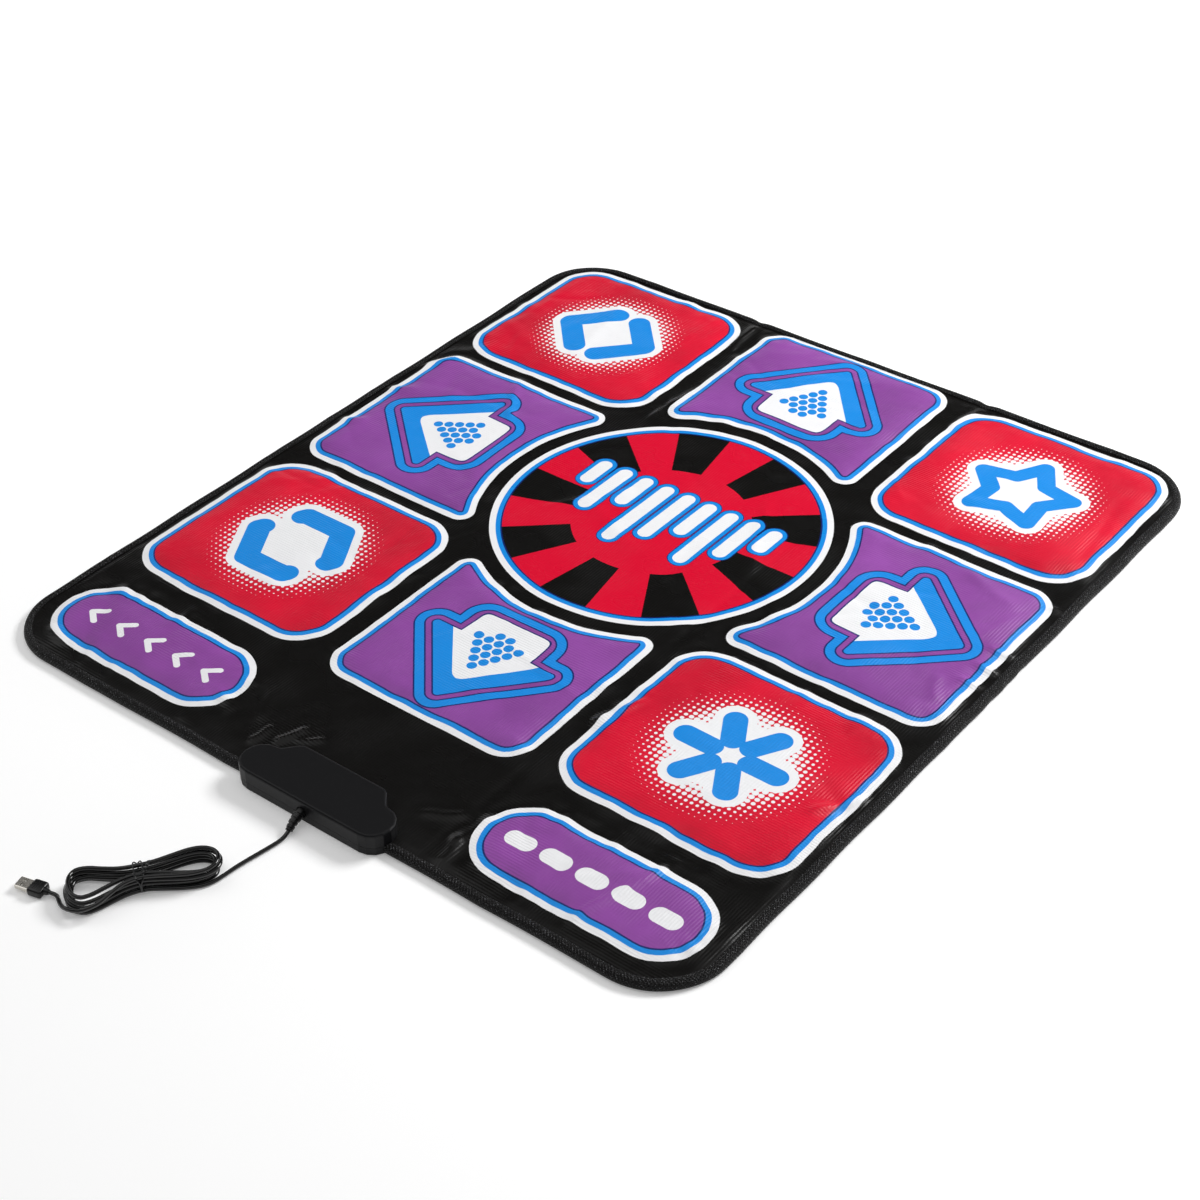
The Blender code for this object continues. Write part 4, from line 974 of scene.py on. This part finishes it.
def make_edge_tape(side, label, finish):
    """Sweeps the tape's section along half of the edge."""
    frames, runs = edge_frames(edge_path(side))
    count = len(TAPE_SECTION)
    bm = bmesh.new()
    loop = [bm.verts.new(frames[0] @ Vector((a, 0, z))) for a, z in TAPE_SECTION]
    edges = [bm.edges.new((loop[i - 1], loop[i])) for i in range(len(loop))]
    for before, after in zip(frames, frames[1:]):
        grown = bmesh.ops.extrude_edge_only(bm, edges=edges)["geom"]
        loop = [v for v in grown if isinstance(v, bmesh.types.BMVert)]
        edges = [e for e in grown if isinstance(e, bmesh.types.BMEdge)]
        edges = [e for e in edges if all(v in loop for v in e.verts)]
        bmesh.ops.transform(bm, matrix=after @ before.inverted(), verts=loop)
    for vert in loop:
        depth = BOX_END_RADIUS - (vert.co.y - BOX_FRONT)
        round_off = BOX_END_RADIUS - math.sqrt(BOX_END_RADIUS**2 - depth**2) if depth > 0 else 0
        vert.co.x = BOX_X + side * (BOX_HALF + BOX_SLIT - round_off)
    bmesh.ops.holes_fill(bm, edges=[e for e in bm.edges if e.is_boundary], sides=count)
    chart = bm.loops.layers.uv.new("tape")
    lengths = [0.0]
    for spot, following in zip(TAPE_SECTION, TAPE_SECTION[1:]):
        lengths.append(lengths[-1] + math.dist(spot, following))
    bm.verts.index_update()
    for face in bm.faces:
        for corner in face.loops:
            ring, place = divmod(corner.vert.index, count)
            corner[chart].uv = (runs[ring] / 2, lengths[place])
    tape = object_from("edge_tape_" + label, bm)
    tape.data.shade_smooth()
    tape.data.set_sharp_from_angle(angle=math.radians(60))
    dress(tape, finish)
    nodes = ["edge_binding_" + label, "edge_binding_box_" + label]
    if side > 0:
        nodes.append("edge_binding_centre_far")
    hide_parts(*nodes)
    bend_over_crease(tape)
    return tape


def woven_tape():
    """Polyester tape: two sets of slanting ribs that cross, with painted sheen on the rib crowns,
    painted shade in the grooves and painted glints where a yarn comes up.

    The ribs lie about 2.5 mm apart. The UV map holds half of each run, so that it stays under 1.
    """
    made, tree, shader = new_finish("woven_tape", "#0C0B0B", 0.55, Specular_IOR_Level=0.14)
    # Colours for the painted shade in the grooves, the painted sheen on the rib crowns and the
    # painted glints.
    painted_groove_shade, painted_rib_sheen, painted_glint_colour = ink("#040404"), ink("#121111"), ink("#7C7D80")
    chart = wire(tree, "UVMap", uv_map="tape")
    stretched = wire(tree, "VectorMath", chart, (2.0, 1.0, 0), operation="MULTIPLY")
    slant = turned(tree, stretched, (0, 0), 38)
    rib = wire(tree, "TexWave", slant, 125.0, 0.6, 1.0, 1.0, bands_direction="X")
    cross = wire(tree, "TexWave", slant, 150.0, 0.6, 1.0, 1.0, bands_direction="Y")
    both = wire(tree, "Math", rib, cross, operation="MAXIMUM")
    tree.links.new(wire(tree, "Bump", 0.9, 0.0008, None, both), shader.inputs["Normal"])
    # Painted sheen and shade: the rib crowns are lighter and the grooves darker, in the base
    # colour.
    tone = wire(tree, "Mix", both, painted_groove_shade, painted_rib_sheen, data_type="RGBA")
    # Painted glints: small pale spots on the rib crowns, in the base colour.
    painted_glint = wire(tree, "TexNoise", stretched, 800.0, 1.0, 0.5)
    painted_glint = wire(tree, "MapRange", painted_glint, 0.60, 0.74)
    painted_glint = wire(tree, "Math", painted_glint, both, operation="MULTIPLY")
    tone = wire(tree, "Mix", painted_glint, tone, painted_glint_colour, data_type="RGBA")
    tree.links.new(tone, shader.inputs["Base Color"])
    tree.links.new(wire(tree, "MapRange", both, 0.2, 1.0, 0.75, 0.40), shader.inputs["Roughness"])
    return made


WOVEN_TAPE = woven_tape()
for side, label in SIDES:
    tape = make_edge_tape(side, label, WOVEN_TAPE)
    print(tape.name, len(tape.data.polygons), "faces")

# %% [markdown]
# A lock stitch holds the tape. Each stitch is a short swollen thread that lies in a small dent.
# Hundreds of them are needed, so each is a coarse ball drawn out, and a side's are one mesh.

# %% Stitches
STITCH_SPACING = 0.0042
STITCH_PLACE = Matrix.Translation((0.0066, 0, 0.0093))
STITCH_SIZE = Matrix.Diagonal((0.00040, 0.0014, 0.00035, 1))


def make_stitches(side, label, finish):
    """Thread along the inner edge of the tape."""
    frames, runs = edge_frames(edge_path(side))
    bm = bmesh.new()
    at = STITCH_SPACING
    i = 0
    while at < runs[-1] - STITCH_SPACING:
        while runs[i + 1] < at:
            i += 1
        share = (at - runs[i]) / (runs[i + 1] - runs[i])
        stitch = frames[i].lerp(frames[i + 1], share) @ STITCH_PLACE @ STITCH_SIZE
        bmesh.ops.create_icosphere(bm, subdivisions=1, radius=1, matrix=stitch)
        at += STITCH_SPACING
    stitches = object_from("edge_stitches_" + label, bm)
    stitches.data.shade_smooth()
    dress(stitches, finish)
    bend_over_crease(stitches)
    return stitches


def add_grain(tree, shader, scale, strength, depth=0.0002, detail=2.0, rough=0.5):
    """Fine grain as bump, in the piece's own space. Gives the grain."""
    spot = wire(tree, "TexCoord").node.outputs["Object"]
    grain = wire(tree, "TexNoise", spot, scale, detail, rough)
    tree.links.new(wire(tree, "Bump", strength, depth, None, grain), shader.inputs["Normal"])
    return grain


THREAD, tree, shader = new_finish("sewing_thread", "#1D1C1B", 0.45)
add_grain(tree, shader, 1500.0, 0.3, detail=1.0)
for side, label in SIDES:
    stitches = make_stitches(side, label, THREAD)
    print(stitches.name, len(stitches.data.polygons), "faces")

# %% [markdown]
# The cord is one PVC cable from the box to the plug: a short free lead, then a hank wound in four
# layers and tied at its waist. Its line repeats the solids' own, and a smooth curve through those
# points takes away their corners.

# %% Line of the cord
CORD = 0.0038
LEAD = (
    (0.01590, -0.48070, 0.00450), (0.01640, -0.48440, 0.00360), (0.0170, -0.4890, 0.0028),
    (0.0164, -0.4964, 0.0022), (0.0141, -0.5110, 0.0022), (0.0115, -0.5257, 0.0022),
    (0.0096, -0.5390, 0.0022), (0.0086, -0.5510, 0.0022), (0.0067, -0.5635, 0.0022),
)
HANK_MIDDLE = Vector((-0.0405, -0.6015, 0))
HANK_TURN = math.radians(54)
# Its plan is a figure of eight: half its length, how far the lobes shift along it, half its waist,
# how far the lobes stand out and how much they differ. It is wound between two angles in degrees.
HANK_REACH = 0.0600
HANK_SHIFT = 0.0033
HANK_WAIST = 0.00355
HANK_LOBE = 0.0290
HANK_UNEVEN = 0.0083
HANK_START, HANK_END, HANK_LAYERS = 40, 1980, 4
HANK_STEP, HANK_LAYER, HANK_FLOOR, PLUG_Z = 0.0049, 0.0047, 0.0022, 0.0043


def ramp(value, low, high):
    """Rises smoothly from 0 to 1 between two values."""
    return float(eased((value - low) / (high - low)))


def hank_spot(angle, out):
    """A spot of the winding in the hank's own plan, moved out square to the line."""
    c, s = math.cos(math.radians(angle)), math.sin(math.radians(angle))
    lobe = HANK_LOBE - HANK_UNEVEN * c
    spot = Vector((HANK_REACH * c + HANK_SHIFT * c**2, s * (HANK_WAIST + lobe * c**2)))
    slope = Vector((
        -HANK_REACH * s - 2 * HANK_SHIFT * c * s,
        c * (HANK_WAIST + lobe * c**2) - s**2 * c * (2 * lobe - HANK_UNEVEN * c),
    )).normalized()
    return spot + Vector((slope.y, -slope.x)) * out


def hank_place(spot, height):
    """Turns a spot of the plan and puts it in place, a little higher at the waist."""
    ahead = Vector((math.cos(HANK_TURN), math.sin(HANK_TURN)))
    flat = HANK_MIDDLE.xy + ahead * spot[0] + Vector((ahead.y, -ahead.x)) * spot[1]
    return Vector((flat.x, flat.y, height + 0.0012 * math.exp(-((spot[0] / 0.016) ** 2))))


def hank_line(steps=129):
    """The winding, and its end laid down beside it."""
    period = (HANK_END - HANK_START) / HANK_LAYERS
    reach = HANK_STEP * period / 360
    rise = HANK_LAYER * (HANK_LAYERS - 1)
    spots = []
    for i in range(steps + 1):
        angle = HANK_START + (HANK_END - HANK_START) * i / steps
        layer, phase = divmod((angle - HANK_START) / period, 1)
        if layer == HANK_LAYERS:
            layer, phase = HANK_LAYERS - 1, 1
        out = reach * (phase if layer % 2 else 1 - phase)
        out += HANK_STEP * ramp(angle - HANK_END, -85, -45)
        climbed = sum(ramp(angle - HANK_START - period * k, -45, 45) for k in range(1, HANK_LAYERS))
        height = HANK_FLOOR + HANK_LAYER * climbed
        height += (PLUG_Z - HANK_FLOOR - rise) * ramp(angle - HANK_END, -75, 15)
        spots.append(hank_place(hank_spot(angle, out), height))
    end = hank_spot(HANK_END, reach + HANK_STEP)
    for i in range(1, 7):
        turn = math.radians(50 * i / 6)
        spot = Vector((end.x - 0.010 * (1 - math.cos(turn)), end.y - 0.010 * math.sin(turn)))
        down = ramp(15 * i / 6, -75, 15)
        spots.append(hank_place(spot, HANK_FLOOR + rise + (PLUG_Z - HANK_FLOOR - rise) * down))
    heading = Vector((-math.sin(turn), -math.cos(turn)))
    spots.append(hank_place(spot + heading * CORD, PLUG_Z))
    return spots


def smooth_line(spots, parts):
    """More points on a smooth curve through a line's points."""
    ends = [2 * spots[0] - spots[1], *spots, 2 * spots[-1] - spots[-2]]
    fine = []
    for a, b, c, d in zip(ends, ends[1:], ends[2:], ends[3:]):
        for i in range(parts):
            t = i / parts
            curve = 2 * b + (c - a) * t + (2 * a - 5 * b + 4 * c - d) * t**2
            fine.append((curve + (3 * b - a - 3 * c + d) * t**3) / 2)
    return [*fine, spots[-1]]


HANK = hank_line()
CORD_LINE = smooth_line([Vector(s) for s in LEAD] + HANK, 3)

# %% [markdown]
# Soft PVC, drawn from a die: nearly black, smooth, with a long highlight along each run.

# %% Cord
def round_line(name, points, radius, roundness, finish):
    """A cord or a wire: a curve through points, with a round section."""
    data = bpy.data.curves.new(name, "CURVE")
    data.dimensions = "3D"
    data.bevel_depth = radius
    data.bevel_resolution = roundness
    data.use_fill_caps = True
    data.materials.append(finish)
    spline = data.splines.new("POLY")
    spline.points.add(len(points) - 1)
    for spot, point in zip(spline.points, points):
        spot.co = (*point, 1.0)
    made = bpy.data.objects.new(name, data)
    bpy.context.scene.collection.objects.link(made)
    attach(made, "centre_leaf")
    print(name, "points:", len(points))
    return made


JACKET, tree, shader = new_finish("cord_jacket", "#090909", 0.12, Specular_IOR_Level=0.5)
grain = add_grain(tree, shader, 900.0, 0.06)
gloss = wire(tree, "MapRange", grain, 0.3, 0.7, 0.08, 0.15)
tree.links.new(gloss, shader.inputs["Roughness"])
usb_cord = round_line("usb_cord", CORD_LINE, CORD / 2, 4, JACKET)
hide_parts("cord_lead", "cord_hank")

# %% [markdown]
# The strain relief is a sleeve of soft PVC moulded on the cord. Its ribs let it bend without a
# kink. It is swept like the tape, ring by ring, along a bend that leads the cord to the floor.

# %% Strain relief
def edges_of(bm, corners):
    """The edges of a shape that was just made, in their own order."""
    corners = set(corners)
    return [e for e in bm.edges if e.verts[0] in corners]


def ring_at(bm, centre, along, radius, sides):
    """A circle of vertices square to a direction."""
    turn = Vector(along).to_track_quat("Z", "Y").to_matrix().to_4x4()
    made = bmesh.ops.create_circle(
        bm, segments=sides, radius=radius, matrix=Matrix.Translation(centre) @ turn
    )
    return edges_of(bm, made["verts"])


def sweep(bm, rows, sides):
    """Joins a row of circles into a closed round body."""
    rings = [ring_at(bm, *row, sides) for row in rows]
    for low, high in zip(rings, rings[1:]):
        bmesh.ops.bridge_loops(bm, edges=low + high)
    bmesh.ops.holes_fill(bm, edges=[e for e in bm.edges if e.is_boundary], sides=sides + 4)


def soft_moulding(name, bm, node):
    """A piece of soft PVC that rides with the box and stands for a solid."""
    made = object_from(name, bm)
    made.data.shade_smooth()
    made.data.set_sharp_from_angle(angle=math.radians(40))
    dress(made, SOFT_PVC)
    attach(made, "centre_leaf")
    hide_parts(node)
    print(name, len(made.data.polygons), "faces")
    return made


def relief_rows():
    """Circles from the flange behind the box's wall to the tip, with four grooves."""
    exit_height = 0.0097
    start = Vector((BOX_X, BOX_FRONT + 0.0008, exit_height))
    bend = start + Vector((0.0006, -0.0110, -0.0004))
    tip = start + Vector((0.0034, -0.0200, -0.0052))
    straight = ((0.0043, 0.0072), (0.0025, 0.0072), (0.00249, 0.0054), (0.0008, 0.0054))
    rows = [((BOX_X, BOX_FRONT + depth, exit_height), (0, -1, 0), r) for depth, r in straight]
    steps = 54
    for i in range(steps + 1):
        t = i / steps
        spot = start * (1 - t) ** 2 + bend * 2 * t * (1 - t) + tip * t**2
        along = ((bend - start) * (1 - t) + (tip - bend) * t).normalized()
        radius = 0.0056 - 0.0022 * t
        if 0.10 < t < 0.94 and math.sin(2 * math.pi * 4.5 * t) > 0.4:
            radius -= 0.0008
        rows.append((spot + along * 0.00001, along, radius))
    return [*rows, (tip + along * 0.0003, along, 0.0022)]


SOFT_PVC, tree, shader = new_finish("soft_pvc", "#0B0B0C", 0.28, Specular_IOR_Level=0.35)
add_grain(tree, shader, 1400.0, 0.15)
bm = bmesh.new()
sweep(bm, relief_rows(), 20)
soft_moulding("strain_relief_sleeve", bm, "strain_relief")

# %% [markdown]
# The hank's tie is plastic-coated wire, turned twice round the waist and twisted on top, so it is
# drawn as a thin round wire that climbs from one turn to the next.

# %% Wire tie
def tie_line():
    """Two turns round the waist, the second beside the first, and a twisted end on top."""
    ahead = Vector((math.cos(HANK_TURN), math.sin(HANK_TURN), 0))
    aside = Vector((ahead.y, -ahead.x, 0))
    half, low, high, radius = 0.0125, 0.0009, 0.0196, 0.0060
    ring = soft_rectangle(0, (low + high) / 2, half, (high - low) / 2, radius)
    ring = ring[12:] + ring[:12]
    spots = []
    for loop in range(2):
        for i, (x, z) in enumerate(ring):
            share = i / len(ring)
            along = 0.0034 * math.cos(2 * math.pi * share) * (1 if loop else -1) + 0.0006 * loop
            spots.append(HANK_MIDDLE + aside * x + ahead * along + Vector((0, 0, z)))
    end = spots[-1]
    for i in range(1, 15):
        turn = 1.7 * i
        run = ahead * (0.0005 * i + 0.0010 * math.cos(turn)) - aside * 0.0009 * i
        rise = 0.0011 + 0.0001 * i + 0.0009 * math.sin(turn)
        spots.append(end + run + Vector((0, 0, rise)))
    return spots


COATED_WIRE, tree, shader = new_finish("coated_wire", "#0B0B0C", 0.14)
add_grain(tree, shader, 1600.0, 0.2)
wire_tie = round_line("wire_tie", smooth_line(tie_line(), 2), 0.0007, 3, COATED_WIRE)
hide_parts("cord_tie")

# %% [markdown]
# The plug's grip is the same soft PVC as the sleeve, moulded round the metal shell: a box with
# round edges that narrows to the cord, and three thumb ribs on its top.

# %% Plug grip
def rounded_box(bm, middle, size, radius, segments):
    """A box with round edges."""
    place = Matrix.Translation(middle) @ Matrix.Diagonal((*size, 1))
    edges = edges_of(bm, bmesh.ops.create_cube(bm, size=1, matrix=place)["verts"])
    bmesh.ops.bevel(
        bm, geom=edges, offset=radius, segments=segments, affect="EDGES", profile=0.5, material=-1
    )


def make_grip():
    """The grip, its neck and its ribs, with the cord's end at the origin, then put in place."""
    bm = bmesh.new()
    rounded_box(bm, (0.0113, 0, 0), (0.0140, 0.0155, 0.0080), 0.0022, 4)
    for x in (0.0095, 0.0117, 0.0139):
        rounded_box(bm, (x, 0, 0.0040), (0.0009, 0.0090, 0.0006), 0.00025, 2)
    neck = ((0.0003, 0.0024), (0.0016, 0.0030), (0.0035, 0.0033), (0.0052, 0.0037))
    sweep(bm, [((x, 0, 0), (1, 0, 0), radius) for x, radius in neck], 16)
    ahead = HANK[-1] - HANK[-2]
    ahead.z = 0
    ahead.normalize()
    stand = Matrix((ahead, (-ahead.y, ahead.x, 0), (0, 0, 1))).transposed().to_4x4()
    bmesh.ops.transform(bm, matrix=Matrix.Translation(HANK[-1]) @ stand, verts=bm.verts)
    return soft_moulding("plug_grip_moulding", bm, "plug_grip")


make_grip()

# %% [markdown]
# The rigid solids keep their shape and get their finish. The box is ABS from a spark-eroded mould,
# which leaves a fine even grain. The rest is inside it, or small: zinc screws, a green board, a
# chip, natural nylon, clear film and white foam.

# %% Finishes of the rigid pieces
def grained(name, colour, roughness, scale, strength, depth, **sockets):
    """A moulded or sawn surface: its own colour, with grain of one size in height and gloss."""
    made, tree, shader = new_finish(name, colour, roughness, **sockets)
    grain = add_grain(tree, shader, scale, strength, depth, 3.0, 0.6)
    gloss = wire(tree, "MapRange", grain, 0.25, 0.75, roughness - 0.06, roughness + 0.06)
    tree.links.new(gloss, shader.inputs["Roughness"])
    return made


FINISHES = {
    "box_plastic": grained(
        "spark_grained_abs", "#0D0D0F", 0.40, 1300.0, 0.35, 0.0002, Specular_IOR_Level=0.2
    ),
    "screw_steel": grained("zinc_plated_steel", "#C9C7C1", 0.32, 2000.0, 0.1, 0.0001, Metallic=1.0),
    "board": grained("solder_mask", "#1C6B3C", 0.35, 900.0, 0.1, 0.0001),
    "chip_black": grained("epoxy_package", "#1B1B1C", 0.55, 1800.0, 0.2, 0.0001),
    "nylon": grained("natural_nylon", "#E4E3DC", 0.45, 900.0, 0.1, 0.0001),
    "moulded_rubber": SOFT_PVC,
    "cord_jacket": JACKET,
    "plated_steel": grained(
        "nickel_plated_steel", "#CFCBC3", 0.22, 700.0, 0.08, 0.0001, Metallic=1.0
    ),
    "foam": grained("foam", "#D9DBDE", 0.85, 700.0, 0.6, 0.0004),
    "contact_film": grained("polyester_film", "#CDD3CC", 0.25, 300.0, 0.05, 0.0001),
    "grip_cloth": GRIP_CLOTH,
    "black_cloth": BLACK_CLOTH,
    "edge_tape": WOVEN_TAPE,
    "red_print": GRIP_CLOTH,
    "purple_print": GRIP_CLOTH,
}
slots = {part["node"]: part["material_slot"] for part in frame["record"]["subparts"]}
for node, slot_name in slots.items():
    dress(frame["nodes"][node], FINISHES[slot_name])
print("finished nodes:", len(slots))

# %% [markdown]
# The studio is a white floor that runs into white light. A large soft lamp stands behind the mat
# on its right, so that shadows fall to the left and towards the camera. The sky is bright overhead,
# like a soft box over the table, and bright at the horizon, like white walls, and dark between. The
# flat cloth mirrors the dark band and stays black, and only its folds catch light.

# %% Studio
def white_floor():
    """A floor that glows to the camera and in mirrors, more so further out, and not to the mat."""
    made = bpy.data.materials.new("white_floor")
    made.use_nodes = True
    tree = made.node_tree
    shader = tree.nodes["Principled BSDF"]
    shader.inputs["Base Color"].default_value = (0.90, 0.90, 0.90, 1)
    shader.inputs["Roughness"].default_value = 0.75
    shader.inputs["Emission Color"].default_value = (1, 1, 1, 1)
    path = wire(tree, "LightPath").node
    rays = [path.outputs["Is " + kind + " Ray"] for kind in ("Camera", "Glossy", "Transmission")]
    seen = joined(tree, rays, "MAXIMUM")
    spot = wire(tree, "TexCoord").node.outputs["Object"]
    away = wire(tree, "VectorMath", spot, operation="LENGTH")
    glow = wire(tree, "MapRange", away, 1.0, 3.5, 0.20, 0.75)
    glow = wire(tree, "Math", seen, glow, operation="MULTIPLY")
    tree.links.new(glow, shader.inputs["Emission Strength"])
    return made


bm = bmesh.new()
under = Matrix.Translation((0, 0, -0.0002))
bmesh.ops.create_grid(bm, x_segments=1, y_segments=1, size=30, matrix=under)
floor = object_from("floor", bm)
dress(floor, white_floor())


def lamp(name, place, target, size, power):
    """A rectangular lamp that looks at a target."""
    data = bpy.data.lights.new(name, "AREA")
    data.shape = "RECTANGLE"
    data.size, data.size_y = size
    data.energy = power
    made = bpy.data.objects.new(name, data)
    made.location = place
    made.rotation_euler = (Vector(target) - Vector(place)).to_track_quat("-Z", "Y").to_euler()
    bpy.context.scene.collection.objects.link(made)


lamp("key_lamp", (1.1, 1.9, 2.0), (0, 0, 0), (1.2, 0.9), 82)
lamp("fill_lamp", (-2.2, -0.6, 2.2), (0, 0, 0), (2.0, 2.0), 14)
world = bpy.data.worlds.new("studio")
world.use_nodes = True
tree = world.node_tree
background = tree.nodes["Background"]
direction = wire(tree, "TexCoord")
rise = wire(tree, "SeparateXYZ", direction).node.outputs["Z"]
sky = wire(tree, "ValToRGB", rise)
stops = sky.node.color_ramp.elements
stops[0].position, stops[1].position = 0.14, 0.98
for place in (0.30, 0.66):
    stops.new(place)
for stop, level in zip(stops, (1.0, 0.02, 0.02, 1.0)):
    stop.color = (level, level, level, 1)
tree.links.new(sky, background.inputs["Color"])
background.inputs["Strength"].default_value = 1.0
bpy.context.scene.world = world
bpy.context.scene.view_settings.view_transform = "Standard"
print("lamps: 2")
